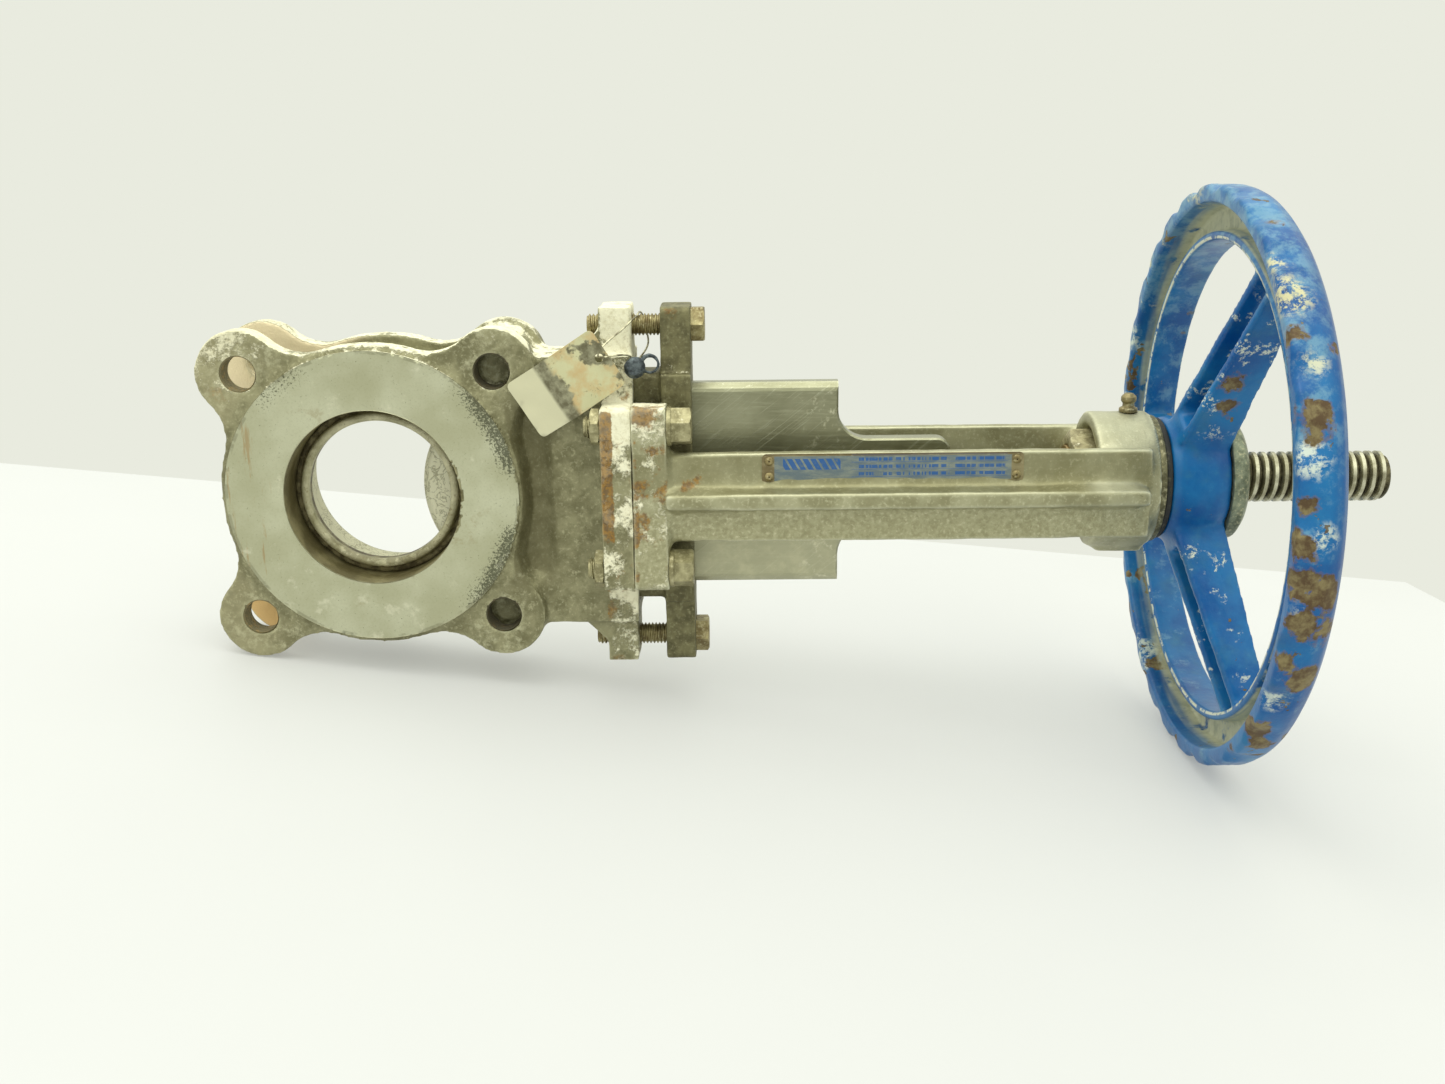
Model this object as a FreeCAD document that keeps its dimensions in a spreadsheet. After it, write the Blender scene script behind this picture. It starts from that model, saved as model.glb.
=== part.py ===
import FreeCAD, Part
import math
import os
import Sketcher

# Knife gate valve, 3 inch class 150, with a rising stem and a 10 inch handwheel.
# Millimetres. Origin at the centre of the bore. +X runs along the stem to the handwheel,
# +Y along the bore, +Z up. The valve lies on its side.

DIMENSIONS = {
    # lug plates and bore
    "bore_radius": 38.1,
    "face_half": 25.4,
    "raised_radius": 63.5,
    "lug_face": 23.0,
    "plate_inner": 12.7,
    "plate_radius": 66.0,
    "lug_circle": 76.2,
    "lug_radius": 18.5,
    "blend_radius": 22.0,
    "lug_hole_radius": 7.94,
    # two blind holes share each axis beside the stem, front and rear, a little apart in size
    "front_blind_radius": 8.025,
    "rear_blind_radius": 7.855,
    "blind_hole_bottom": 8.0,
    # cast wall between the plates, chest and packing box
    "web_radius": 54.0,
    "neck_half": 13.5,
    "chest_start": 40.0,
    "chest_half": 59.5,
    "chest_rib": 38.5,
    "box_start": 77.0,
    "box_top": 113.0,
    "box_half": 18.0,
    "cavity_start": 74.0,
    "cavity_half": 11.1,
    "cavity_height": 51.2,
    "cavity_corner": 4.0,
    "slot_half": 5.2,
    "slot_height": 45.7,
    # tapped ears of the body
    "ear_start": 99.0,
    "ear_root": 88.0,
    "ear_half": 13.0,
    "ear_reach": 79.0,
    "ear_bend": 70.0,
    "gland_bolt_height": 70.5,
    "tapped_radius": 4.8,
    # yoke pads, feet and bolts
    "pad_start": 100.0,
    "pad_inner": 15.0,
    "pad_outer": 37.0,
    "pad_height": 39.8,
    "pad_corner": 3.0,
    "foot_top": 128.0,
    "foot_inner": 20.0,
    "yoke_bolt_side": 30.0,
    "yoke_bolt_height": 31.0,
    "bolt_hole_radius": 5.2,
    "bolt_radius": 4.76,
    "hex_corner": 8.25,
    "yoke_bolt_end": 93.0,
    "yoke_nut_start": 95.8,
    "washer_top": 130.0,
    "washer_radius": 8.3,
    "yoke_head_top": 138.5,
    # seat
    "seat_inner": 31.2,
    "seat_lip": 35.0,
    "seat_lip_face": 12.0,
    "seat_base_face": 8.0,
    "seat_contact": 4.85,
    # gate
    "gate_half": 4.75,
    "gate_width_half": 45.1,
    "gate_tip": 17.7,
    "gate_shoulder": 202.0,
    "gate_end": 251.4,
    "neck_width_half": 19.8,
    "shoulder_fillet": 13.0,
    "neck_corner": 6.0,
    "knife_bevel": 3.0,
    "edge_break": 0.8,
    # packing and gland
    "packing_pitch": 6.2,
    "packing_thick": 6.1,
    "packing_outer": 11.0,
    "packing_height": 51.1,
    "packing_inner": 4.85,
    "packing_slot": 45.25,
    "nose_start": 99.2,
    "nose_half": 10.9,
    "nose_height": 50.9,
    "gland_start": 125.0,
    "gland_top": 138.0,
    "gland_centre_half": 17.0,
    "gland_ear_half": 13.0,
    "gland_slot_half": 5.0,
    "gland_slot_height": 45.4,
    "gland_bolt_end": 93.0,
    "gland_head_top": 144.0,
    # yoke arms and hub
    "arm_inner": 26.0,
    "arm_outer": 32.0,
    "arm_height": 19.2,
    "arm_end": 333.0,
    "rib_half": 3.5,
    "rib_outer": 41.0,
    "arm_cove": 2.75,
    "rib_end": 331.0,
    "hub_start": 311.8,
    "hub_end": 338.0,
    "hub_radius": 29.8,
    "journal_bore": 16.6,
    "pocket_radius": 23.7,
    "pocket_end": 318.6,
    "boss_start": 316.5,
    "boss_end": 337.0,
    "boss_half": 8.0,
    "boss_bottom": 32.0,
    # drive sleeve and what is on it
    "sleeve_start": 302.6,
    "sleeve_end": 379.4,
    "sleeve_bore": 11.2,
    "sleeve_thread": 15.0,
    "journal_radius": 16.5,
    "journal_start": 316.65,
    "flange_start": 341.0,
    "flange_end": 343.8,
    "flange_radius": 22.0,
    "wheel_seat_radius": 16.0,
    "wheel_seat_end": 369.2,
    "locknut_start": 303.6,
    "locknut_end": 316.6,
    "locknut_corner": 22.0,
    "thrust_inner_start": 316.7,
    "thrust_inner_end": 318.5,
    "thrust_inner_radius": 21.0,
    "thrust_outer_radius": 28.0,
    "seal_outer": 27.0,
    "seal_inner": 22.2,
    "key_start": 346.0,
    "key_end": 366.0,
    "key_half": 2.5,
    "key_bottom": 13.6,
    "key_top": 18.4,
    # stem
    "stem_radius": 11.11,
    "stem_start": 252.2,
    "stem_tip": 443.6,
    "stem_chamfer": 2.0,
    "fork_start": 216.0,
    "fork_end": 264.0,
    "fork_half": 12.0,
    "fork_height": 11.0,
    "fork_round": 15.2,
    "fork_slot_half": 4.85,
    "fork_bolt_first": 226.0,
    "fork_bolt_pitch": 16.0,
    "fork_hole_radius": 4.85,
    "fork_head": 6.0,
    "fork_nut": 7.0,
    "fork_bolt_tail": 20.5,
    # handwheel
    "wheel_radius": 127.0,
    "wheel_lip": 359.5,
    "wheel_back": 381.0,
    "rim_groove_outer": 118.5,
    "rim_groove_inner": 108.0,
    "rim_groove_bottom": 373.5,
    "rim_inner": 103.6,
    "rim_inner_lip": 365.0,
    "wheel_hub_start": 344.0,
    "wheel_hub_end": 369.5,
    "wheel_hub_radius": 27.5,
    "wheel_hub_bore": 16.05,
    "keyway_top": 18.5,
    "spoke_half": 9.5,
    "spoke_wall": 4.0,
    "spoke_root": 22.0,
    "spoke_groove_root": 33.0,
    "spoke_count": 3,
    "grip_count": 30,
    "grip_radius": 22.0,
    "grip_depth": 2.6,
    "grip_length": 11.0,
    "wheel_nut_start": 369.6,
    "wheel_nut_end": 378.8,
    "wheel_nut_radius": 27.0,
    "wheel_nut_face": 18.2,
    "wheel_nut_bore": 15.05,
    # grease nipple
    "nipple_place": 329.5,
    "nipple_thread": 2.4,
    "nipple_hole": 2.5,
    "nipple_foot": 22.0,
    "nipple_seat": 29.8,
    "nipple_collar": 4.0,
    # nameplate
    "plate_start": 168.0,
    "plate_end": 278.4,
    "plate_low": 6.3,
    "plate_high": 19.0,
    "plate_corner": 2.0,
    "plate_thick": 0.6,
    "pin_inset": 3.0,
    "pin_radius": 1.2,
    "pin_head_radius": 2.0,
    "pin_head": 1.1,
    "pin_depth": 4.0,
    # tag, wire and lead seal
    "tag_thick": 0.8,
    "tag_half_width": 13.6,
    "tag_long": 25.2,
    "tag_short": 19.9,
    "tag_long_lean": 11.0,
    "tag_short_lean": 18.0,
    "tag_bend": 7.0,
    "tag_drop": 47.0,
    "tag_ahead": 31.0,
    "tag_along": 83.2,
    "tag_turn": 32.6,
    "tag_hole_place": 21.0,
    "tag_hole_radius": 1.9,
    "wire_radius": 0.4,
    "lead_radius": 4.6,
    "lead_half": 2.6,
    "lead_loop": 3.6,
    "lead_loop_wire": 0.8,
    "lead_along": 114.6,
    "lead_ahead": 21.8,
    "lead_up": 54.6,
    "lead_drill": 1.7,
}

doc = FreeCAD.newDocument("knife_gate_valve")
sheet = doc.addObject("Spreadsheet::Sheet", "dims")

AXIS_TO_X = FreeCAD.Rotation(FreeCAD.Vector(0, 1, 0), 90)
AXIS_TO_Y = FreeCAD.Rotation(FreeCAD.Vector(1, 0, 0), -90)
HALF_SIXTH = FreeCAD.Rotation(FreeCAD.Vector(0, 0, 1), 30)
SIDES = (-1, 1)


def fill_sheet():
    for row, (alias, value) in enumerate(DIMENSIONS.items(), start=1):
        sheet.set(f"A{row}", alias)
        sheet.set(f"B{row}", str(value))
        sheet.setAlias(f"B{row}", alias)
    doc.recompute()


def size(alias):
    return float(sheet.get(alias))


def dim(alias):
    return f"dims.{alias}"


def bind(item, **expressions):
    for prop, expression in expressions.items():
        item.setExpression(prop, expression)


def bind_place(item, x="0", y="0", z="0"):
    for axis, expression in zip("xyz", (x, y, z)):
        item.setExpression(f"Placement.Base.{axis}", expression)


# ---- Part primitives whose sizes follow the sheet ----

def box(name, x0, x1, y0, y1, z0, z1):
    item = doc.addObject("Part::Box", name)
    bind(item, Length=f"({x1}) - ({x0})", Width=f"({y1}) - ({y0})", Height=f"({z1}) - ({z0})")
    bind_place(item, x0, y0, z0)
    return item


def cylinder_x(name, radius, x0, x1, y="0", z="0"):
    item = doc.addObject("Part::Cylinder", name)
    item.Placement.Rotation = AXIS_TO_X
    bind(item, Radius=radius, Height=f"({x1}) - ({x0})")
    bind_place(item, x0, y, z)
    return item


def cylinder_y(name, radius, y0, y1, x="0", z="0"):
    item = doc.addObject("Part::Cylinder", name)
    item.Placement.Rotation = AXIS_TO_Y
    bind(item, Radius=radius, Height=f"({y1}) - ({y0})")
    bind_place(item, x, y0, z)
    return item


def cylinder_z(name, radius, z0, z1, x="0", y="0"):
    item = doc.addObject("Part::Cylinder", name)
    bind(item, Radius=radius, Height=f"({z1}) - ({z0})")
    bind_place(item, x, y, z0)
    return item


def cone_x(name, radius0, radius1, x0, x1):
    item = doc.addObject("Part::Cone", name)
    item.Placement.Rotation = AXIS_TO_X
    bind(item, Radius1=radius0, Radius2=radius1, Height=f"({x1}) - ({x0})")
    bind_place(item, x0)
    return item


def hexagon(name, corner, start, end, rotation, x="0", y="0", z="0"):
    """A hexagonal prism along the rotated axis, with a flat on top."""
    item = doc.addObject("Part::Prism", name)
    item.Polygon = 6
    item.Placement.Rotation = rotation.multiply(HALF_SIXTH)
    bind(item, Circumradius=corner, Height=f"({end}) - ({start})")
    bind_place(item, x, y, z)
    return item


def fuse(name, items):
    item = doc.addObject("Part::MultiFuse", name)
    item.Shapes = items
    item.Refine = True
    return item


def group(name, items):
    item = doc.addObject("Part::Compound", name)
    item.Links = items
    return item


def cut(name, base, tools):
    item = doc.addObject("Part::Cut", name)
    item.Base = base
    item.Tool = tools[0] if len(tools) == 1 else fuse(f"{name}_tools", tools)
    item.Refine = True
    return item


def common(name, first, second):
    item = doc.addObject("Part::MultiCommon", name)
    item.Shapes = [first, second]
    return item


def round_edges(name, base, radius, chosen):
    """Fillets the edges of base for which chosen(edge) holds."""
    doc.recompute()
    item = doc.addObject("Part::Fillet", name)
    item.Base = base
    item.Edges = [
        (number, radius, radius)
        for number, edge in enumerate(base.Shape.Edges, start=1)
        if chosen(edge)
    ]
    return item


def runs_along(edge, axis):
    """True for a straight edge parallel to the axis with that index."""
    if not isinstance(edge.Curve, Part.Line):
        return False
    return abs(abs(edge.Curve.Direction[axis]) - 1.0) < 1e-6


def publish(item, label):
    item.Label = label
    parts.append(item)
    return item


# ---- PartDesign bodies ----

def new_body(name):
    return doc.addObject("PartDesign::Body", name)


def origin_feature(body, role):
    return next(item for item in body.Origin.OriginFeatures if item.Role == role)


def new_sketch(body, name, role):
    sketch = body.newObject("Sketcher::SketchObject", name)
    sketch.AttachmentSupport = [(origin_feature(body, role), "")]
    sketch.MapMode = "FlatFace"
    return sketch


def value_of(expression):
    return float(sheet.evalExpression(expression))


def outline(sketch, points):
    """Draws a closed polygon whose corners are pinned to sheet expressions."""
    places = [FreeCAD.Vector(value_of(x), value_of(y), 0) for x, y in points]
    first = sketch.GeometryCount
    total = len(points)
    for index, start in enumerate(places):
        sketch.addGeometry(Part.LineSegment(start, places[(index + 1) % total]), False)
    for index in range(total):
        following = first + (index + 1) % total
        sketch.addConstraint(Sketcher.Constraint("Coincident", first + index, 2, following, 1))
    for index, (x, y) in enumerate(points):
        pin(sketch, first + index, 1, places[index], x, y)
    return sketch


def pin(sketch, geometry, vertex, place, x, y):
    """Ties one vertex to the sketch origin by two distances from the sheet."""
    for kind, value, expression in (("DistanceX", place.x, x), ("DistanceY", place.y, y)):
        number = sketch.addConstraint(
            Sketcher.Constraint(kind, -1, 1, geometry, vertex, value)
        )
        sketch.setExpression(f"Constraints[{number}]", expression)


def circle(sketch, x, y, radius):
    """Draws a circle pinned to sheet expressions."""
    centre = FreeCAD.Vector(value_of(x), value_of(y), 0)
    number = sketch.addGeometry(
        Part.Circle(centre, FreeCAD.Vector(0, 0, 1), value_of(radius)), False
    )
    pin(sketch, number, 3, centre, x, y)
    bound = sketch.addConstraint(Sketcher.Constraint("Radius", number, value_of(radius)))
    sketch.setExpression(f"Constraints[{bound}]", radius)
    return sketch


def pad(body, name, sketch, length, midplane=False):
    feature = body.newObject("PartDesign::Pad", name)
    feature.Profile = sketch
    feature.setExpression("Length", length)
    feature.Midplane = midplane
    body.Tip = feature
    doc.recompute()
    return feature


def pocket(body, name, sketch, length, midplane=False, reverse=False):
    before = body.Shape.Volume
    feature = body.newObject("PartDesign::Pocket", name)
    feature.Profile = sketch
    feature.setExpression("Length", length)
    feature.Midplane = midplane
    feature.Reversed = reverse
    body.Tip = feature
    doc.recompute()
    if body.Shape.Volume >= before:
        raise RuntimeError(f"{name} cuts nothing")
    return feature


def revolve(body, name, sketch, axis="H_Axis"):
    feature = body.newObject("PartDesign::Revolution", name)
    feature.Profile = sketch
    feature.ReferenceAxis = (sketch, [axis])
    feature.Angle = 360.0
    body.Tip = feature
    doc.recompute()
    return feature


def turned(name, points, label=None):
    """A body turned about the stem axis from an (x, radius) outline."""
    body = new_body(name)
    sketch = outline(new_sketch(body, f"{name}_section", "XY_Plane"), points)
    revolve(body, f"{name}_turning", sketch)
    if label:
        publish(body, label)
    return body


def ring_x(name, inner, outer, start, end):
    """A plain ring about the stem axis."""
    disc = cylinder_x(f"{name}_disc", outer, start, end)
    hole = cylinder_x(f"{name}_hole", inner, f"{start} - 1", f"{end} + 1")
    return cut(f"{name}_ring", disc, [hole])


# ---- valve body ----

def lug_plate(name, flipped):
    """One lug plate: a disc with a raised face and four lugs with hollow blends."""
    body = new_body(name)
    disc = new_sketch(body, f"{name}_disc", "XZ_Plane")
    disc.setExpression("AttachmentOffset.Base.z", dim("plate_inner"))
    circle(disc, "0", "0", dim("plate_radius"))
    pad(body, f"{name}_disc_pad", disc, f"{dim('lug_face')} - {dim('plate_inner')}")

    reach = (
        f"(({dim('plate_radius')} + {dim('blend_radius')})^2"
        f" - ({dim('lug_radius')} + {dim('blend_radius')})^2"
        f" + {dim('lug_circle')}^2) / (2 * {dim('lug_circle')})"
    )
    aside = f"sqrt(({dim('plate_radius')} + {dim('blend_radius')})^2 - ({reach})^2)"
    root = f"({reach}) * {dim('plate_radius')} / ({dim('plate_radius')} + {dim('blend_radius')})"
    half = f"({aside}) * {dim('plate_radius')} / ({dim('plate_radius')} + {dim('blend_radius')})"

    web = new_sketch(body, f"{name}_web", "XZ_Plane")
    web.setExpression("AttachmentOffset.Base.z", dim("plate_inner"))
    outline(web, [
        (root, f"-({half})"), (dim("lug_circle"), f"-({half})"),
        (dim("lug_circle"), half), (root, half),
    ])
    web_pad = pad(body, f"{name}_web_pad", web, f"{dim('lug_face')} - {dim('plate_inner')}")

    lug = new_sketch(body, f"{name}_lug", "XZ_Plane")
    lug.setExpression("AttachmentOffset.Base.z", dim("plate_inner"))
    circle(lug, dim("lug_circle"), "0", dim("lug_radius"))
    lug_pad = pad(body, f"{name}_lug_pad", lug, f"{dim('lug_face')} - {dim('plate_inner')}")

    hollow = new_sketch(body, f"{name}_blend", "XZ_Plane")
    hollow.setExpression("AttachmentOffset.Base.z", dim("lug_face"))
    for side in SIDES:
        circle(hollow, reach, f"{side} * ({aside})", dim("blend_radius"))
    hollow_cut = pocket(
        body, f"{name}_blend_cut", hollow, f"{dim('lug_face')} - {dim('plate_inner')}"
    )

    pattern = body.newObject("PartDesign::PolarPattern", f"{name}_lugs")
    pattern.Originals = [web_pad, lug_pad, hollow_cut]
    pattern.Axis = (origin_feature(body, "Y_Axis"), [""])
    pattern.Angle = 360.0
    pattern.Occurrences = 4
    body.Tip = pattern
    doc.recompute()

    face = new_sketch(body, f"{name}_face", "XZ_Plane")
    face.setExpression("AttachmentOffset.Base.z", dim("lug_face"))
    circle(face, "0", "0", dim("raised_radius"))
    pad(body, f"{name}_face_pad", face, f"{dim('face_half')} - {dim('lug_face')}")

    quarter = FreeCAD.Rotation(FreeCAD.Vector(0, 1, 0), 45)
    turn = FreeCAD.Rotation(FreeCAD.Vector(1, 0, 0), 180 if flipped else 0)
    body.Placement.Rotation = turn.multiply(quarter)
    return body


def body_ear(name, flipped):
    """A tapped ear with a sloped root, for one gland bolt."""
    body = new_body(name)
    sketch = outline(new_sketch(body, f"{name}_side", "XZ_Plane"), [
        (dim("ear_root"), f"{dim('chest_half')} - 5"),
        (dim("ear_root"), dim("chest_half")),
        (dim("ear_start"), dim("ear_bend")),
        (dim("ear_start"), dim("ear_reach")),
        (f"{dim('box_top')} - 0.5", dim("ear_reach")),
        (f"{dim('box_top')} - 0.5", f"{dim('chest_half')} - 5"),
    ])
    pad(body, f"{name}_pad", sketch, f"2 * {dim('ear_half')}", midplane=True)
    body.Placement.Rotation = FreeCAD.Rotation(FreeCAD.Vector(1, 0, 0), 180 if flipped else 0)
    return body


def valve_body():
    solids = [lug_plate("front_plate", False), lug_plate("rear_plate", True)]
    solids.append(cylinder_y("web", dim("web_radius"), "-dims.neck_half", "dims.neck_half"))
    solids.append(box("neck", "0", dim("box_start"), "-dims.neck_half", "dims.neck_half",
                      "-dims.web_radius", "dims.web_radius"))
    solids.append(box("packing_box", dim("box_start"), dim("box_top"), "-dims.box_half",
                      "dims.box_half", "-dims.chest_half", "dims.chest_half"))
    solids += [body_ear("upper_ear", False), body_ear("lower_ear", True)]
    pitch = f"{dim('lug_circle')} * cos(45)"
    for side in SIDES:
        low = dim("chest_rib") if side > 0 else "-dims.chest_half"
        high = dim("chest_half") if side > 0 else "-dims.chest_rib"
        tag = "upper" if side > 0 else "lower"
        solids.append(box(f"{tag}_chest_rib", dim("chest_start"), dim("box_top"),
                          "-dims.box_half", "dims.box_half", low, high))
        solids.append(cylinder_y(f"{tag}_lug_boss", f"{dim('lug_radius')} - 3",
                                 "-dims.plate_inner", "dims.plate_inner",
                                 x=pitch, z=f"{side} * {pitch}"))
    for side in SIDES:
        near = dim("pad_inner") if side > 0 else "-dims.pad_outer"
        far = dim("pad_outer") if side > 0 else "-dims.pad_inner"
        block = box(f"pad_{'rear' if side > 0 else 'front'}", dim("pad_start"), dim("box_top"),
                    near, far, "-dims.pad_height", "dims.pad_height")
        solids.append(round_edges(f"{block.Name}_rounded", block, size("pad_corner"),
                                  lambda edge: runs_along(edge, 0)))
    return cut("body_casting", fuse("body_mass", solids), body_openings(pitch))


def body_openings(pitch):
    tools = [cylinder_y("bore", dim("bore_radius"), "-dims.face_half - 1", "dims.face_half + 1")]
    tools.append(cylinder_y("slot_end", dim("slot_height"), "-dims.slot_half", "dims.slot_half"))
    tools.append(box("slot", "0", f"{dim('cavity_start')} + 1", "-dims.slot_half",
                     "dims.slot_half", "-dims.slot_height", "dims.slot_height"))
    cavity = box("cavity", dim("cavity_start"), f"{dim('box_top')} + 1", "-dims.cavity_half",
                 "dims.cavity_half", "-dims.cavity_height", "dims.cavity_height")
    tools.append(round_edges("cavity_rounded", cavity, size("cavity_corner"),
                             lambda edge: runs_along(edge, 0)))
    for side in SIDES:
        tag = "upper" if side > 0 else "lower"
        tools.append(cylinder_y(f"{tag}_through_hole", dim("lug_hole_radius"),
                                "-dims.face_half - 1", "dims.face_half + 1",
                                x=f"-{pitch}", z=f"{side} * {pitch}"))
        tools.append(cylinder_y(f"{tag}_blind_front", dim("front_blind_radius"),
                                "-dims.face_half - 1", "-dims.blind_hole_bottom",
                                x=pitch, z=f"{side} * {pitch}"))
        tools.append(cylinder_y(f"{tag}_blind_rear", dim("rear_blind_radius"),
                                "dims.blind_hole_bottom", "dims.face_half + 1",
                                x=pitch, z=f"{side} * {pitch}"))
        tools.append(cylinder_x(f"{tag}_ear_hole", dim("tapped_radius"),
                                "dims.ear_root", "dims.box_top + 1",
                                z=f"{side} * dims.gland_bolt_height"))
    return tools + yoke_bolt_tools("pad_hole", dim("bolt_hole_radius"), "dims.pad_start - 1",
                                   "dims.box_top + 1")


def yoke_bolt_places():
    return [(side, level) for side in SIDES for level in SIDES]


def yoke_bolt_tools(name, radius, start, end):
    return [
        cylinder_x(f"{name}_{index}", radius, start, end,
                   y=f"{side} * dims.yoke_bolt_side", z=f"{level} * dims.yoke_bolt_height")
        for index, (side, level) in enumerate(yoke_bolt_places())
    ]


# ---- seat, gate and packing ----

def seat_ring():
    body = new_body("seat")
    section = outline(new_sketch(body, "seat_section", "XY_Plane"), [
        (dim("seat_inner"), "-dims.seat_lip_face"),
        (dim("seat_lip"), "-dims.seat_lip_face"),
        (dim("seat_lip"), "-dims.seat_base_face"),
        (dim("bore_radius"), "-dims.seat_base_face"),
        (dim("bore_radius"), "-dims.seat_contact"),
        (dim("seat_inner"), "-dims.seat_contact"),
    ])
    revolve(body, "seat_turning", section, axis="V_Axis")
    return body


def gate():
    body = new_body("gate_plate")
    tip_centre = f"{dim('gate_tip')} + {dim('gate_width_half')}"
    blade = outline(new_sketch(body, "gate_outline", "XZ_Plane"), [
        (tip_centre, "-dims.gate_width_half"),
        (dim("gate_shoulder"), "-dims.gate_width_half"),
        (dim("gate_shoulder"), "-dims.neck_width_half"),
        (dim("gate_end"), "-dims.neck_width_half"),
        (dim("gate_end"), "dims.neck_width_half"),
        (dim("gate_shoulder"), "dims.neck_width_half"),
        (dim("gate_shoulder"), "dims.gate_width_half"),
        (tip_centre, "dims.gate_width_half"),
    ])
    pad(body, "gate_blade", blade, f"2 * {dim('gate_half')}", midplane=True)
    tip = circle(new_sketch(body, "gate_tip_outline", "XZ_Plane"), tip_centre, "0",
                 dim("gate_width_half"))
    pad(body, "gate_tip_pad", tip, f"2 * {dim('gate_half')}", midplane=True)
    holes = new_sketch(body, "gate_holes", "XZ_Plane")
    for step in range(2):
        circle(holes, f"dims.fork_bolt_first + {step} * dims.fork_bolt_pitch", "0",
               dim("fork_hole_radius"))
    pocket(body, "gate_hole_cut", holes, f"3 * {dim('gate_half')}", midplane=True)
    dress(body, "PartDesign::Fillet", "shoulder_round", "shoulder_fillet", shoulder_corner)
    dress(body, "PartDesign::Fillet", "neck_round", "neck_corner", neck_end_corner)
    dress(body, "PartDesign::Chamfer", "knife_edge", "knife_bevel", front_tip_edge)
    dress(body, "PartDesign::Chamfer", "broken_edges", "edge_break", long_face_edge)
    return body


def dress(body, kind, name, alias, chosen):
    """Adds a fillet or chamfer to the edges of the body's tip that chosen() picks."""
    base = body.Tip
    picked = [
        f"Edge{number}" for number, edge in enumerate(base.Shape.Edges, start=1) if chosen(edge)
    ]
    feature = body.newObject(kind, name)
    feature.Base = (base, picked)
    feature.setExpression("Radius" if kind.endswith("Fillet") else "Size", dim(alias))
    body.Tip = feature
    doc.recompute()
    return feature


def shoulder_corner(edge):
    centre = edge.CenterOfMass
    near = abs(centre.x - size("gate_shoulder")) < 0.1
    return runs_along(edge, 1) and near and abs(centre.z) < size("neck_width_half") + 0.1


def neck_end_corner(edge):
    return runs_along(edge, 1) and abs(edge.CenterOfMass.x - size("gate_end")) < 0.1


def front_tip_edge(edge):
    bounds = edge.BoundBox
    on_front = abs(bounds.YMin + size("gate_half")) < 0.01 and bounds.YLength < 0.01
    return on_front and bounds.XMin < size("gate_tip") + 1


def long_face_edge(edge):
    bounds = edge.BoundBox
    on_face = abs(abs(bounds.YMin) - size("gate_half")) < 0.01 and bounds.YLength < 0.01
    past_tip = bounds.XMin > size("gate_tip") + size("gate_width_half") - 0.1
    whole_side = abs(bounds.ZMin) + bounds.ZLength > size("fork_hole_radius") * 2 + 2
    straight = isinstance(edge.Curve, Part.Line) and runs_along(edge, 0)
    return on_face and past_tip and whole_side and straight


def packing_ring(index):
    start = f"dims.cavity_start + 0.1 + {index} * dims.packing_pitch"
    end = f"{start} + dims.packing_thick"
    block = box(f"packing_block_{index}", start, end, "-dims.packing_outer",
                "dims.packing_outer", "-dims.packing_height", "dims.packing_height")
    outer = round_edges(f"packing_outer_{index}", block, size("cavity_corner"),
                        lambda edge: runs_along(edge, 0))
    hole = box(f"packing_hole_{index}", f"{start} - 1", f"{end} + 1", "-dims.packing_inner",
               "dims.packing_inner", "-dims.packing_slot", "dims.packing_slot")
    return cut(f"packing_{index}", outer, [hole])


def packing_gland():
    nose_block = box("nose_block", dim("nose_start"), f"{dim('gland_start')} + 1",
                     "-dims.nose_half", "dims.nose_half", "-dims.nose_height",
                     "dims.nose_height")
    nose = round_edges("nose", nose_block, size("cavity_corner"),
                       lambda edge: runs_along(edge, 0))
    centre = box("gland_centre", dim("gland_start"), dim("gland_top"),
                 "-dims.gland_centre_half", "dims.gland_centre_half", "-dims.nose_height",
                 "dims.nose_height")
    ears_block = box("gland_ears_block", dim("gland_start"), dim("gland_top"),
                     "-dims.gland_ear_half", "dims.gland_ear_half", "-dims.ear_reach",
                     "dims.ear_reach")
    ears = round_edges("gland_ears", ears_block, size("pad_corner"),
                       lambda edge: runs_along(edge, 0))
    tools = [box("gland_slot", "dims.nose_start - 1", "dims.gland_top + 1",
                 "-dims.gland_slot_half", "dims.gland_slot_half", "-dims.gland_slot_height",
                 "dims.gland_slot_height")]
    for side in SIDES:
        tools.append(cylinder_x(f"gland_hole_{'upper' if side > 0 else 'lower'}",
                                dim("bolt_hole_radius"), "dims.gland_start - 1",
                                "dims.gland_top + 1", z=f"{side} * dims.gland_bolt_height"))
    return cut("gland_casting", fuse("gland_mass", [nose, centre, ears]), tools)


# ---- fasteners ----

def hex_bolt(name, shank_start, head_start, head_end, y="0", z="0"):
    """A hex bolt along the stem axis, head towards the handwheel."""
    shank = cylinder_x(f"{name}_shank", dim("bolt_radius"), shank_start, head_start, y, z)
    head = hexagon(f"{name}_head", dim("hex_corner"), head_start, head_end, AXIS_TO_X,
                   x=head_start, y=y, z=z)
    return fuse(f"{name}_bolt", [shank, head])


def hex_nut_x(name, start, end, y, z):
    blank = hexagon(f"{name}_blank", dim("hex_corner"), start, end, AXIS_TO_X, x=start, y=y, z=z)
    hole = cylinder_x(f"{name}_hole", dim("tapped_radius"), f"{start} - 1", f"{end} + 1", y, z)
    return cut(f"{name}_nut", blank, [hole])


def gland_bolts():
    return group("gland_bolt_pair", [
        hex_bolt(f"gland_{'upper' if side > 0 else 'lower'}", dim("gland_bolt_end"),
                 f"{dim('gland_top')} + 0.1", dim("gland_head_top"),
                 z=f"{side} * dims.gland_bolt_height")
        for side in SIDES
    ])


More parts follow.
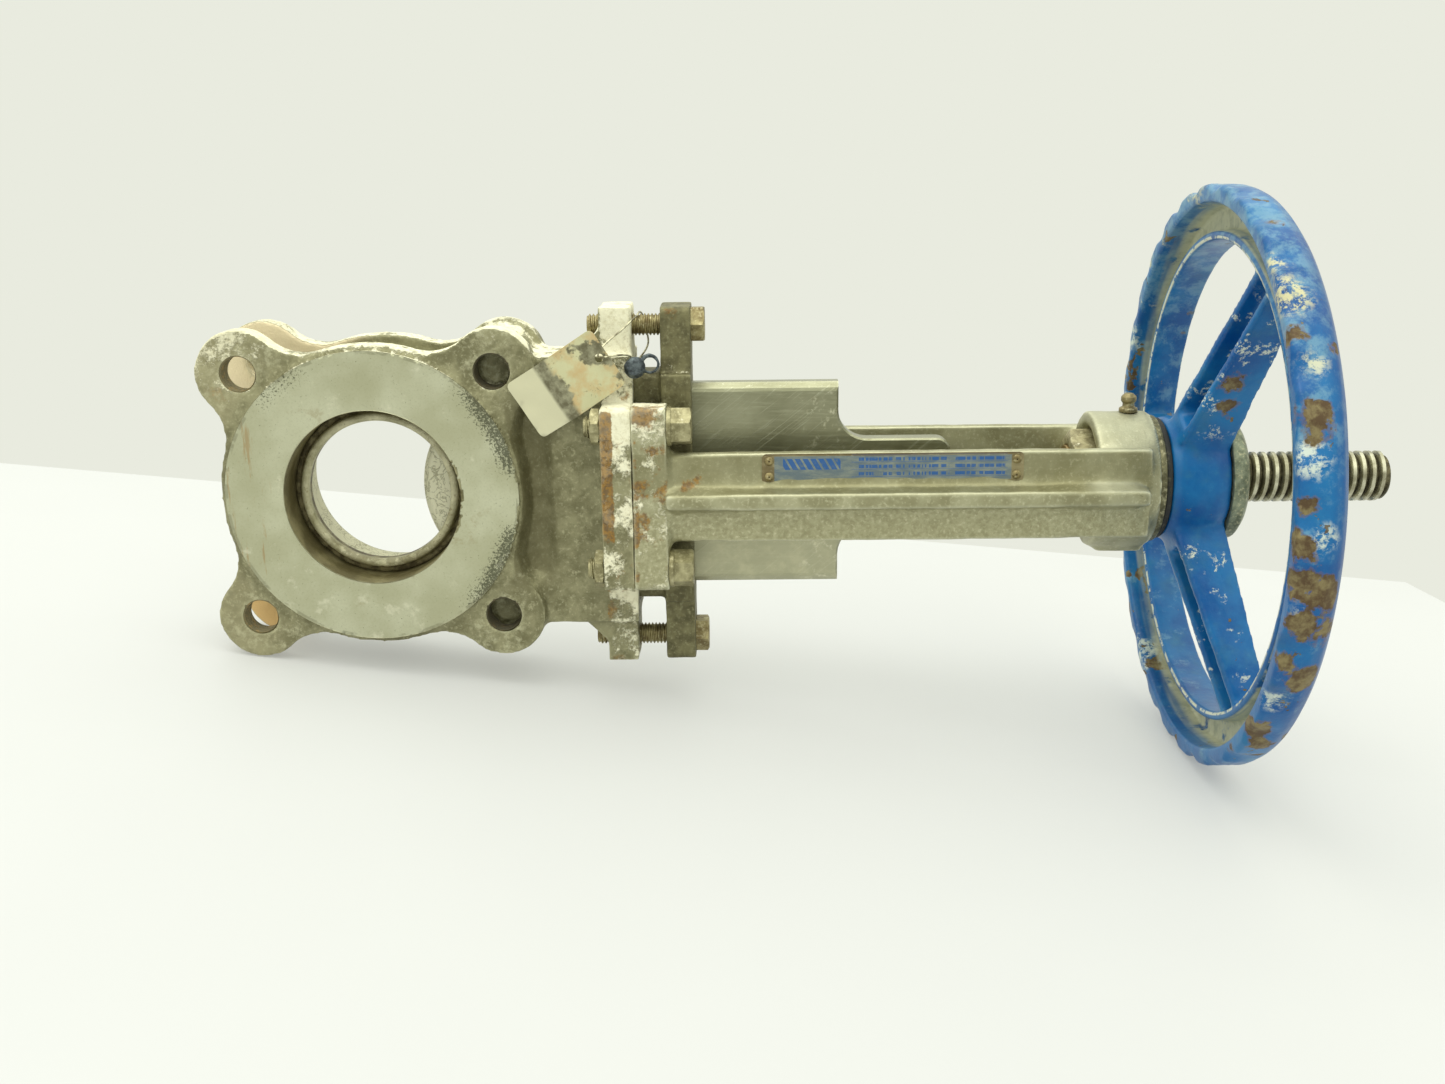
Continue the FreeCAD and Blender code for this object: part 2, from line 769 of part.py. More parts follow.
def yoke_fasteners():
    """Bolts, spring washers and nuts at the four yoke bolt places."""
    bolts, washers, nuts = [], [], []
    for index, (side, level) in enumerate(yoke_bolt_places()):
        y = f"{side} * dims.yoke_bolt_side"
        z = f"{level} * dims.yoke_bolt_height"
        bolts.append(hex_bolt(f"yoke_{index}", dim("yoke_bolt_end"), dim("washer_top"),
                              dim("yoke_head_top"), y, z))
        disc = cylinder_x(f"washer_disc_{index}", dim("washer_radius"), dim("foot_top"),
                          dim("washer_top"), y, z)
        hole = cylinder_x(f"washer_hole_{index}", dim("tapped_radius"),
                          f"{dim('foot_top')} - 1", f"{dim('washer_top')} + 1", y, z)
        washers.append(cut(f"washer_{index}", disc, [hole]))
        nuts.append(hex_nut_x(f"yoke_{index}", dim("yoke_nut_start"), dim("pad_start"), y, z))
    publish(group("yoke_bolt_set", bolts), "yoke_bolts")
    publish(group("yoke_washer_set", washers), "yoke_lock_washers")
    publish(group("yoke_nut_set", nuts), "yoke_nuts")


def fork_fasteners():
    """Two bolts across the stem fork, with their nuts on the rear side."""
    bolts, nuts = [], []
    for step in range(2):
        x = f"dims.fork_bolt_first + {step} * dims.fork_bolt_pitch"
        shank = cylinder_y(f"fork_shank_{step}", dim("bolt_radius"), "-dims.fork_half",
                           dim("fork_bolt_tail"), x=x)
        head_start = "-dims.fork_half - dims.fork_head"
        head = hexagon(f"fork_head_{step}", dim("hex_corner"), head_start, "-dims.fork_half",
                       AXIS_TO_Y, x=x, y=head_start)
        bolts.append(fuse(f"fork_bolt_{step}", [shank, head]))
        nut_end = "dims.fork_half + dims.fork_nut"
        blank = hexagon(f"fork_nut_blank_{step}", dim("hex_corner"), dim("fork_half"), nut_end,
                        AXIS_TO_Y, x=x, y=dim("fork_half"))
        hole = cylinder_y(f"fork_nut_hole_{step}", dim("tapped_radius"),
                          "dims.fork_half - 1", f"{nut_end} + 1", x=x)
        nuts.append(cut(f"fork_nut_{step}", blank, [hole]))
    publish(group("fork_bolt_pair", bolts), "fork_bolts")
    publish(group("fork_nut_pair", nuts), "fork_nuts")


# ---- yoke ----

def yoke_arm(side):
    """One foot, and the ribbed arm that stands on it, coved where the rib meets the flat."""
    tag = "rear" if side > 0 else "front"
    pieces = {}
    for piece, x0, x1, inner, outer, height in (
        ("foot", "dims.box_top", "foot_top", "foot_inner", "pad_outer", "pad_height"),
        ("flat", "dims.foot_top - 1", "arm_end", "arm_inner", "arm_outer", "arm_height"),
        ("rib", "dims.foot_top - 1", "rib_end", "arm_outer", "rib_outer", "rib_half"),
    ):
        near, far = dim(inner), dim(outer)
        if side < 0:
            near, far = f"-dims.{outer}", f"-dims.{inner}"
        pieces[piece] = box(f"{tag}_{piece}", x0, dim(x1), near, far,
                            f"-dims.{height}", dim(height))
    foot = round_edges(f"{tag}_foot_rounded", pieces["foot"], size("pad_corner"),
                       lambda edge: runs_along(edge, 0))
    arm = fuse(f"{tag}_arm", [pieces["flat"], pieces["rib"]])
    coved = round_edges(f"{tag}_arm_coved", arm, size("arm_cove"), at_rib_root)
    return [foot, coved]


def at_rib_root(edge):
    """True for the inside corners between a rib and its flat."""
    point = edge.Vertexes[0].Point
    return (runs_along(edge, 0)
            and math.isclose(abs(point.y), size("arm_outer"), abs_tol=1e-6)
            and math.isclose(abs(point.z), size("rib_half"), abs_tol=1e-6))


def yoke():
    solids = [*yoke_arm(-1), *yoke_arm(1)]
    solids.append(cylinder_x("hub_barrel", dim("hub_radius"), dim("hub_start"), dim("hub_end")))
    solids.append(box("hub_boss", dim("boss_start"), dim("boss_end"), "-dims.boss_half",
                      "dims.boss_half", "-dims.boss_bottom", "-20"))
    tools = yoke_bolt_tools("foot_hole", dim("bolt_hole_radius"), "dims.box_top - 1",
                            "dims.foot_top + 1")
    tools.append(cylinder_x("journal_hole", dim("journal_bore"), "dims.hub_start",
                            "dims.hub_end + 1"))
    tools.append(cylinder_x("locknut_pocket", dim("pocket_radius"), "dims.hub_start - 1",
                            dim("pocket_end")))
    tools.append(cylinder_z("grease_hole", dim("nipple_hole"), "15", "dims.hub_radius + 1",
                            x=dim("nipple_place")))
    tools += nameplate_pin_holes()
    return cut("yoke_casting", fuse("yoke_mass", solids), tools)


def nameplate_pin_places():
    return [
        (x, z)
        for x in ("dims.plate_start + dims.pin_inset", "dims.plate_end - dims.pin_inset")
        for z in ("dims.plate_low + dims.pin_inset", "dims.plate_high - dims.pin_inset")
    ]


def nameplate_pin_holes():
    return [
        cylinder_y(f"pin_hole_{index}", f"{dim('pin_radius')} + 0.05",
                   "-dims.arm_outer - 1", "-dims.arm_outer + dims.pin_depth", x=x, z=z)
        for index, (x, z) in enumerate(nameplate_pin_places())
    ]


def nameplate():
    sheet_metal = box("nameplate_blank", dim("plate_start"), dim("plate_end"),
                      "-dims.arm_outer - dims.plate_thick", "-dims.arm_outer",
                      dim("plate_low"), dim("plate_high"))
    rounded = round_edges("nameplate_rounded", sheet_metal, size("plate_corner"),
                          lambda edge: runs_along(edge, 1))
    holes = [
        cylinder_y(f"nameplate_hole_{index}", f"{dim('pin_radius')} + 0.05",
                   "-dims.arm_outer - 2", "-dims.arm_outer + 1", x=x, z=z)
        for index, (x, z) in enumerate(nameplate_pin_places())
    ]
    return cut("nameplate_drilled", rounded, holes)


def nameplate_pins():
    pins = []
    face = "-dims.arm_outer - dims.plate_thick"
    for index, (x, z) in enumerate(nameplate_pin_places()):
        shank = cylinder_y(f"pin_shank_{index}", dim("pin_radius"), face,
                           "-dims.arm_outer + dims.pin_depth - 0.2", x=x, z=z)
        head = cylinder_y(f"pin_head_{index}", dim("pin_head_radius"),
                          f"{face} - dims.pin_head", face, x=x, z=z)
        pins.append(fuse(f"pin_{index}", [shank, head]))
    return group("nameplate_pin_set", pins)


def grease_nipple():
    body = new_body("nipple")
    section = outline(new_sketch(body, "nipple_section", "XZ_Plane"), [
        ("0", dim("nipple_foot")),
        (dim("nipple_thread"), dim("nipple_foot")),
        (dim("nipple_thread"), dim("nipple_seat")),
        (dim("nipple_collar"), dim("nipple_seat")),
        (dim("nipple_collar"), f"{dim('nipple_seat')} + 2.2"),
        (f"{dim('nipple_thread')} + 0.1", f"{dim('nipple_seat')} + 3"),
        (f"{dim('nipple_thread')} + 0.1", f"{dim('nipple_seat')} + 4.4"),
        ("3.3", f"{dim('nipple_seat')} + 5.4"),
        ("3.3", f"{dim('nipple_seat')} + 7.2"),
        ("1.8", f"{dim('nipple_seat')} + 8.8"),
        ("0", f"{dim('nipple_seat')} + 8.8"),
    ])
    revolve(body, "nipple_turning", section, axis="V_Axis")
    bind_place(body, x=dim("nipple_place"))
    return body


# ---- stem and drive sleeve ----

def stem():
    rod = cylinder_x("stem_rod", dim("stem_radius"), dim("stem_start"),
                     "dims.stem_tip - dims.stem_chamfer")
    point = cone_x("stem_point", dim("stem_radius"), "dims.stem_radius - dims.stem_chamfer",
                   "dims.stem_tip - dims.stem_chamfer", dim("stem_tip"))
    block = box("fork_block", dim("fork_start"), dim("fork_end"), "-dims.fork_half",
                "dims.fork_half", "-dims.fork_height", "dims.fork_height")
    barrel = cylinder_x("fork_barrel", dim("fork_round"), dim("fork_start"), dim("fork_end"))
    fork = common("fork", block, barrel)
    tools = [box("fork_slot", "dims.fork_start - 1", dim("stem_start"), "-dims.fork_slot_half",
                 "dims.fork_slot_half", "-dims.fork_round", "dims.fork_round")]
    for step in range(2):
        tools.append(cylinder_y(f"fork_hole_{step}", dim("fork_hole_radius"),
                                "-dims.fork_half - 1", "dims.fork_half + 1",
                                x=f"dims.fork_bolt_first + {step} * dims.fork_bolt_pitch"))
    return cut("stem_bar", fuse("stem_mass", [rod, point, fork]), tools)


def stem_nut():
    sleeve = turned("sleeve", [
        (dim("sleeve_start"), dim("sleeve_bore")),
        (dim("sleeve_start"), dim("sleeve_thread")),
        (dim("journal_start"), dim("sleeve_thread")),
        (dim("journal_start"), dim("journal_radius")),
        (dim("flange_start"), dim("journal_radius")),
        (dim("flange_start"), dim("flange_radius")),
        (dim("flange_end"), dim("flange_radius")),
        (dim("flange_end"), dim("wheel_seat_radius")),
        (dim("wheel_seat_end"), dim("wheel_seat_radius")),
        (dim("wheel_seat_end"), dim("sleeve_thread")),
        (dim("sleeve_end"), dim("sleeve_thread")),
        (dim("sleeve_end"), dim("sleeve_bore")),
    ])
    keyway = box("sleeve_keyway", dim("key_start"), dim("key_end"), "-dims.key_half",
                 "dims.key_half", dim("key_bottom"), "dims.key_top + 1")
    return cut("sleeve_cut", sleeve, [keyway])


def locknut():
    blank = hexagon("locknut_blank", dim("locknut_corner"), dim("locknut_start"),
                    dim("locknut_end"), AXIS_TO_X, x=dim("locknut_start"))
    hole = cylinder_x("locknut_hole", "dims.sleeve_thread + 0.05", "dims.locknut_start - 1",
                      "dims.locknut_end + 1")
    return cut("locknut_bored", blank, [hole])


def handwheel_nut():
    return turned("wheel_nut", [
        (dim("wheel_nut_start"), dim("wheel_nut_bore")),
        (dim("wheel_nut_start"), dim("wheel_nut_radius")),
        (f"{dim('wheel_nut_end')} - 4", dim("wheel_nut_radius")),
        (f"{dim('wheel_nut_end')} - 1.5", f"{dim('wheel_nut_radius')} - 3.5"),
        (dim("wheel_nut_end"), dim("wheel_nut_face")),
        (dim("wheel_nut_end"), dim("wheel_nut_bore")),
    ])


# ---- handwheel ----

def handwheel():
    body = new_body("wheel")
    rim = outline(new_sketch(body, "rim_section", "XY_Plane"), [
        (dim("wheel_lip"), "dims.wheel_radius - 1.5"),
        (dim("wheel_lip"), "dims.rim_groove_outer + 1"),
        (dim("rim_groove_bottom"), dim("rim_groove_outer")),
        (dim("rim_groove_bottom"), dim("rim_groove_inner")),
        (dim("rim_inner_lip"), "dims.rim_groove_inner - 0.7"),
        (dim("rim_inner_lip"), dim("rim_inner")),
        (dim("wheel_back"), dim("rim_inner")),
        (dim("wheel_back"), "dims.wheel_radius - 11"),
        ("dims.wheel_back - 1.5", "dims.wheel_radius - 6.5"),
        ("dims.wheel_back - 4.5", "dims.wheel_radius - 2.5"),
        ("dims.wheel_back - 9", dim("wheel_radius")),
        ("dims.wheel_lip + 1.5", dim("wheel_radius")),
    ])
    revolve(body, "rim", rim)
    hub = outline(new_sketch(body, "hub_section", "XY_Plane"), [
        (dim("wheel_hub_start"), dim("wheel_hub_bore")),
        (dim("wheel_hub_start"), "dims.wheel_hub_radius - 1"),
        ("dims.wheel_hub_start + 3", dim("wheel_hub_radius")),
        ("dims.wheel_hub_end - 6", dim("wheel_hub_radius")),
        (dim("wheel_hub_end"), "dims.wheel_hub_radius - 2.5"),
        (dim("wheel_hub_end"), dim("wheel_hub_bore")),
    ])
    revolve(body, "hub", hub)
    wheel_spokes(body)
    keyway = outline(new_sketch(body, "keyway_side", "XZ_Plane"), [
        ("dims.wheel_hub_start - 1", "dims.wheel_hub_bore - 2"),
        ("dims.wheel_hub_end + 1", "dims.wheel_hub_bore - 2"),
        ("dims.wheel_hub_end + 1", dim("keyway_top")),
        ("dims.wheel_hub_start - 1", dim("keyway_top")),
    ])
    pocket(body, "keyway", keyway, "2 * dims.key_half + 0.1", midplane=True)
    return cut("wheel_gripped", body, finger_grips())


def wheel_spokes(body):
    """Three channel spokes that lean outwards from the hub to the rim."""
    side = outline(new_sketch(body, "spoke_side", "XY_Plane"), [
        ("dims.wheel_hub_start + 1.5", dim("spoke_root")),
        ("dims.wheel_hub_end - 1", dim("spoke_root")),
        ("dims.wheel_back - 0.5", "dims.rim_inner + 1"),
        ("dims.rim_inner_lip + 0.5", "dims.rim_inner + 1"),
    ])
    spoke = pad(body, "spoke", side, "2 * dims.spoke_half", midplane=True)
    floor = outline(new_sketch(body, "spoke_groove_side", "XY_Plane"), [
        ("dims.wheel_hub_start - 4", dim("spoke_groove_root")),
        ("dims.wheel_hub_start + 15", dim("spoke_groove_root")),
        (dim("rim_groove_bottom"), "dims.rim_groove_inner + 1"),
        ("dims.rim_inner_lip - 6", "dims.rim_groove_inner + 1"),
    ])
    groove = pocket(body, "spoke_groove", floor, "2 * (dims.spoke_half - dims.spoke_wall)",
                    midplane=True)
    pattern = body.newObject("PartDesign::PolarPattern", "spokes")
    pattern.Originals = [spoke, groove]
    pattern.Axis = (origin_feature(body, "X_Axis"), [""])
    pattern.Angle = 360.0
    pattern.setExpression("Occurrences", dim("spoke_count"))
    body.Tip = pattern
    doc.recompute()


def finger_grips():
    """Shallow scoops round the lip of the rim, deepest at the lip."""
    count = int(size("grip_count"))
    slope = math.degrees(math.atan2(size("grip_depth"), size("grip_length")))
    lean = FreeCAD.Rotation(FreeCAD.Vector(0, 1, 0), 90 - slope)
    reach = "(dims.wheel_radius + dims.grip_radius - 1.2 * dims.grip_depth)"
    scoops = []
    for index in range(count):
        angle = 360 * index / count
        scoop = doc.addObject("Part::Cylinder", f"grip_{index}")
        bind(scoop, Radius=dim("grip_radius"), Height="2 * dims.grip_length")
        spin = FreeCAD.Rotation(FreeCAD.Vector(1, 0, 0), angle)
        scoop.Placement.Rotation = spin.multiply(lean)
        bind_place(scoop, x="dims.wheel_lip - 0.2 * dims.grip_length",
                   y=f"-{reach} * sin({angle})", z=f"{reach} * cos({angle})")
        scoops.append(scoop)
    return scoops


# ---- tag, wire and seal ----

def fold_edge(edge):
    return runs_along(edge, 2) and abs(edge.CenterOfMass.x) < 0.1


def tag():
    """A strip bent once, with a hole near the end of its long leg."""
    body = new_body("tag_strip")
    long_x = "dims.tag_long * cos(dims.tag_long_lean)"
    long_y = "dims.tag_long * sin(dims.tag_long_lean)"
    short_x = "dims.tag_short * cos(dims.tag_short_lean)"
    short_y = "dims.tag_short * sin(dims.tag_short_lean)"
    edge = outline(new_sketch(body, "tag_edge", "XY_Plane"), [
        ("0", "0"),
        (long_x, long_y),
        (f"{long_x} - dims.tag_thick * sin(dims.tag_long_lean)",
         f"{long_y} + dims.tag_thick * cos(dims.tag_long_lean)"),
        ("0", "dims.tag_thick"),
        (f"-({short_x} - dims.tag_thick * sin(dims.tag_short_lean))",
         f"{short_y} + dims.tag_thick * cos(dims.tag_short_lean)"),
        (f"-({short_x})", short_y),
    ])
    pad(body, "tag_pad", edge, "2 * dims.tag_half_width", midplane=True)
    dress(body, "PartDesign::Fillet", "tag_fold", "tag_bend", fold_edge)
    hole = circle(new_sketch(body, "tag_hole", "XZ_Plane"), dim("tag_hole_place"), "1.5",
                  dim("tag_hole_radius"))
    pocket(body, "tag_hole_cut", hole, "40", midplane=True)
    body.Placement.Rotation = FreeCAD.Rotation(FreeCAD.Vector(0, 1, 0), -size("tag_turn"))
    bind_place(body, x=dim("tag_along"), y="-dims.tag_ahead", z=dim("tag_drop"))
    return body


def wire_route():
    """Centre line of the tie wire: seal, tag hole, over the gland bolt, back to the seal."""
    leaves_seal = FreeCAD.Vector(113.2, -19.5, 58.6)
    rises_to_tag = FreeCAD.Vector(108.0, -26.0, 60.6)
    ahead_of_tag = FreeCAD.Vector(102.4, -29.6, 60.4)
    in_tag_hole = FreeCAD.Vector(100.0, -27.3, 60.3)
    behind_tag = FreeCAD.Vector(100.4, -22.6, 62.6)
    clear_of_tag = FreeCAD.Vector(104.5, -18.2, 66.5)
    climbs = FreeCAD.Vector(110.0, -15.8, 70.8)
    beside_bolt = FreeCAD.Vector(113.6, -12.2, 74.0)
    under_bolt = FreeCAD.Vector(119.4, -4.5, 62.6)
    returns = FreeCAD.Vector(118.0, -13.5, 59.9)
    meets_seal = FreeCAD.Vector(116.4, -19.5, 58.2)
    outward = [leaves_seal, rises_to_tag, ahead_of_tag, in_tag_hole, behind_tag, clear_of_tag,
               climbs, beside_bolt]
    return outward + wire_turn_on_bolt() + [under_bolt, returns, meets_seal]


def wire_turn_on_bolt():
    """The half turn of wire that lies on the shank of the upper gland bolt."""
    radius = size("bolt_radius") + size("wire_radius") + 0.2
    height = size("gland_bolt_height")
    points = []
    for step in range(7):
        angle = math.radians(60 + 30 * step)
        points.append(FreeCAD.Vector(115.2 + 0.6 * step, -radius * math.cos(angle),
                                     height + radius * math.sin(angle)))
    return points


def seal_wire():
    path = Part.BSplineCurve()
    path.interpolate(wire_route())
    spine = Part.Wire([path.toShape()])
    start = path.value(path.FirstParameter)
    tangent = path.tangent(path.FirstParameter)[0]
    ring = Part.Wire([Part.Circle(start, tangent, size("wire_radius")).toShape()])
    item = doc.addObject("Part::Feature", "tie_wire")
    item.Shape = spine.makePipeShell([ring], True, True)
    return item


def lead_seal():
    """A round crimped seal with a short loop of its own lead at the side."""
    body = new_body("lead_slug")
    section = outline(new_sketch(body, "lead_section", "XY_Plane"), [
        ("0", "-dims.lead_half"),
        ("dims.lead_radius - 1.6", "-dims.lead_half"),
        (dim("lead_radius"), "-dims.lead_half + 1.4"),
        (dim("lead_radius"), "dims.lead_half - 1.4"),
        ("dims.lead_radius - 1.6", dim("lead_half")),
        ("0", dim("lead_half")),
    ])
    revolve(body, "lead_turning", section, axis="V_Axis")
    loop = doc.addObject("Part::Torus", "lead_loop_ring")
    bind(loop, Radius1=dim("lead_loop"), Radius2=dim("lead_loop_wire"))
    loop.Placement.Rotation = AXIS_TO_Y
    bind_place(loop, x="dims.lead_radius + 1.8", z="1.6")
    drill = cylinder_y("lead_wire_entry", dim("lead_drill"), "0", dim("lead_half"), z="3")
    slug = cut("lead_drilled", fuse("lead_mass", [body, loop]), [drill])
    bind_place(slug, x=dim("lead_along"), y="-dims.lead_ahead", z=dim("lead_up"))
    return slug


# ---- assembly ----

def build():
    publish(valve_body(), "valve_body")
    publish(seat_ring(), "seat_ring")
    publish(gate(), "gate")
    for index in range(4):
        publish(packing_ring(index), f"packing_ring_{index + 1}")
    publish(packing_gland(), "packing_gland")
    publish(gland_bolts(), "gland_bolts")
    publish(yoke(), "yoke")
    yoke_fasteners()
    publish(stem(), "stem")
    fork_fasteners()
    publish(stem_nut(), "stem_nut")
    publish(locknut(), "stem_locknut")
    publish(ring_x("thrust_inner", dim("journal_bore"), dim("thrust_inner_radius"),
                   dim("thrust_inner_start"), dim("thrust_inner_end")), "thrust_washer_inner")
    publish(ring_x("thrust_outer", dim("journal_bore"), dim("thrust_outer_radius"),
                   dim("hub_end"), "dims.flange_start - 0.05"), "thrust_washer_outer")
    publish(ring_x("dust", dim("seal_inner"), dim("seal_outer"), dim("flange_start"),
                   "dims.flange_end - 0.1"), "dust_seal")
    publish(handwheel(), "handwheel")
    publish(box("key_bar", dim("key_start"), dim("key_end"), "-dims.key_half",
                "dims.key_half", dim("key_bottom"), dim("key_top")), "handwheel_key")
    publish(handwheel_nut(), "handwheel_nut")
    publish(grease_nipple(), "grease_nipple")
    publish(nameplate(), "nameplate")
    publish(nameplate_pins(), "nameplate_pins")
    publish(tag(), "tag")
    publish(seal_wire(), "seal_wire")
    publish(lead_seal(), "lead_seal")


def check():
    doc.recompute()
    for item in doc.Objects:
        if "Invalid" in item.State or "Error" in item.State:
            raise RuntimeError(f"{item.Name} failed: {item.State}")
    for item in parts:
        if item.Shape.isNull() or not item.Shape.isValid() or not item.Shape.Solids:
            raise RuntimeError(f"{item.Label} has no valid solid")


def export():
    os.makedirs("parts", exist_ok=True)
    for item in parts:
        item.Shape.exportStep(f"parts/{item.Label}.step")


parts = []
fill_sheet()
build()
check()
export()
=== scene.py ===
import math

import bmesh
import bpy
import numpy as np
from mathutils import Matrix, Vector, noise


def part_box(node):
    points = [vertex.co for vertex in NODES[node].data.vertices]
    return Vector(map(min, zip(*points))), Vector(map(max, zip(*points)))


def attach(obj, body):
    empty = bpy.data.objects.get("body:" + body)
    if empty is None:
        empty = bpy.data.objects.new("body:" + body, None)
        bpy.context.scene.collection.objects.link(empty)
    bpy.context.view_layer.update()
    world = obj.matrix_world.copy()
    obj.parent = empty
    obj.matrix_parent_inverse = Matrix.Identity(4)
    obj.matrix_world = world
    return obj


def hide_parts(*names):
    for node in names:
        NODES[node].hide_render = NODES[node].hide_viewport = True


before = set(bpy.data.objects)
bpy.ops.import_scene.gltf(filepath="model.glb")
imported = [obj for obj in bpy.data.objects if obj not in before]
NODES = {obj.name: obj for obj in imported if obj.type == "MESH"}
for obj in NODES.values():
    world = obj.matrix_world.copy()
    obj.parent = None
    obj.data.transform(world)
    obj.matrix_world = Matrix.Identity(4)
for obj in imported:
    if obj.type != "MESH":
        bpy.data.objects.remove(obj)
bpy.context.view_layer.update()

# Lengths here are millimetres until a mesh is made; MM turns them into metres.
MM = 0.001


# ---- colours and procedural materials ----

def tone(red, green, blue):
    """A screen colour, 0 to 255, as the linear colour that a shader takes."""
    def linear(value):
        value /= 255.0
        return value / 12.92 if value <= 0.04045 else ((value + 0.055) / 1.055) ** 2.4
    return (linear(red), linear(green), linear(blue), 1.0)


class Field:
    """A number that varies over a surface, with ordinary arithmetic."""

    def __init__(self, paint, socket):
        self.paint = paint
        self.socket = socket

    def __add__(self, other):
        return self.paint.math("ADD", self, other)

    def __sub__(self, other):
        return self.paint.math("SUBTRACT", self, other)

    def __rsub__(self, other):
        return self.paint.math("SUBTRACT", other, self)

    def __mul__(self, other):
        return self.paint.math("MULTIPLY", self, other)

    def __abs__(self):
        return self.paint.math("ABSOLUTE", self)

    __radd__ = __add__
    __rmul__ = __mul__

    def step(self, low, high):
        """0 at low, 1 at high, smooth between them; low may be the larger one."""
        return self.paint.add("MapRange", "Result",
                              {"Value": self, "From Min": low, "From Max": high},
                              interpolation_type="SMOOTHSTEP")

    def band(self, low, high, soft):
        """1 between low and high, falling to 0 within soft outside them."""
        return self.step(low - soft, low) * self.step(high + soft, high)


class Paint:
    """One procedural material, built from fields over the object's own coordinates."""

    def __init__(self, name):
        self.material = bpy.data.materials.new(name)
        self.material.use_nodes = True
        self.nodes = self.material.node_tree.nodes
        self.links = self.material.node_tree.links
        self.shader = self.nodes["Principled BSDF"]
        metres = self.add("TexCoord", "Object", {})
        self.point = self.add("VectorMath", "Vector", {0: metres, "Scale": 1.0 / MM},
                              operation="SCALE")
        self.x, self.y, self.z = self.split(self.point)
        self.nx, self.ny, self.nz = self.split(self.add("TexCoord", "Normal", {}))

    def feed(self, socket, value):
        if isinstance(value, Field):
            self.links.new(value.socket, socket)
        else:
            socket.default_value = value

    def add(self, kind, output, inputs, **settings):
        """One output of a new shader node, as a field."""
        node = self.nodes.new(f"ShaderNode{kind}")
        for name, value in settings.items():
            setattr(node, name, value)
        for name, value in inputs.items():
            self.feed(node.inputs[name], value)
        return Field(self, node.outputs[output])

    def split(self, vector):
        node = self.nodes.new("ShaderNodeSeparateXYZ")
        self.feed(node.inputs[0], vector)
        return [Field(self, socket) for socket in node.outputs]

    def math(self, operation, first, second=0.0):
        return self.add("Math", 0, {0: first, 1: second}, operation=operation)

    def most(self, *fields):
        """The largest of several fields."""
        result = fields[0]
        for field in fields[1:]:
            result = self.math("MAXIMUM", result, field)
        return result

    def length(self, first, second):
        """Distance from an axis, from the two coordinates across it."""
        return self.math("SQRT", first * first + second * second)

    def distance(self, middle):
        """Distance in mm from a point."""
        return self.add("VectorMath", "Value", {0: self.point, 1: middle},
                        operation="DISTANCE")

    def spot(self, x, y, z, inner, outer):
        """1 within inner of a point, 0 past outer."""
        return self.distance((x, y, z)).step(outer, inner)

    def spots(self, places):
        """The sum of soft spots, each x, y, z, inner and outer radius, and strength."""
        total = 0.0
        for *place, strength in places:
            total = self.spot(*place) * strength + total
        return total

    def patches(self, places, wobble):
        """Distance in mm outside the nearest patch, made ragged; places are x, y, z, radius."""
        nearest = None
        for *middle, radius in places:
            outside = self.distance(middle) - radius
            nearest = self.math("MINIMUM", nearest, outside) if nearest else outside
        return nearest + wobble

    def moved(self, shift, scale, **settings):
        """The coordinates scaled, and moved so that each shift gives noise of its own."""
        tilt = settings.pop("tilt", 0.0)
        inputs = {"Vector": self.point, "Scale": scale, "Rotation": (0.0, -tilt, 0.0),
                  "Location": (shift * 37.0, shift * 11.0, shift * 53.0)}
        return self.add("Mapping", "Vector", inputs, **settings)

    def scratches(self, size, length, tilt, shift=0.0):
        """Noise drawn out to length mm, at tilt degrees from X towards Z."""
        turned = self.moved(shift, (length, 1.0, size), tilt=math.radians(tilt),
                            vector_type="TEXTURE")
        return self.add("TexNoise", 0, {"Vector": turned, "Scale": 1.0, "Detail": 3.0})

    def noise(self, size, detail=3.0, rough=0.55, stretch=(1, 1, 1), shift=0.0, twist=0.0):
        """Cloudy noise about 0.5 whose largest features are size mm."""
        inputs = {"Vector": self.moved(shift, stretch), "Scale": 1.0 / size,
                  "Detail": detail, "Roughness": rough, "Distortion": twist}
        return self.add("TexNoise", 0, inputs)

    def mix(self, amount, first, second):
        """A colour that goes from first to second."""
        return self.add("Mix", 2, {0: amount, 6: first, 7: second}, data_type="RGBA")

    def coat(self, colour, amount, red, green, blue):
        """A colour with a screen colour, 0 to 255, laid over it where amount is high."""
        return self.mix(amount, colour, tone(red, green, blue))

    def blend(self, amount, first, second):
        """A number that goes from first to second."""
        return (second - first) * amount + first

    def wear(self, low=0.52, high=0.6):
        """1 on the convex edges of a dense mesh."""
        return self.add("NewGeometry", "Pointiness", {}).step(low, high)

    def finish(self, colour, rough, metal, height):
        """Connects the shader; height is the surface's relief in mm."""
        self.feed(self.shader.inputs["Base Color"], colour)
        self.feed(self.shader.inputs["Roughness"], rough)
        self.feed(self.shader.inputs["Metallic"], metal)
        bump = self.add("Bump", "Normal", {"Distance": MM, "Height": height})
        self.feed(self.shader.inputs["Normal"], bump)
        return self.material


TAG_PLACE = Vector((83.2, -31.0, 47.0))
TAG_TURN = math.radians(32.6)
CREAM = tone(236, 233, 206)
RUST = tone(144, 102, 14)
BROWN = tone(104, 76, 36)


def mottled(paint, dark, mid, light, size=9.0):
    """Cast metal colour: clouds of two tones with darker pits."""
    clouds = paint.noise(size, 6, 0.62)
    fine = paint.noise(1.6, 3, 0.6, shift=1)
    colour = paint.mix(clouds.step(0.34, 0.66), dark, mid)
    return paint.mix(fine.step(0.5, 0.78) * 0.75, colour, light)


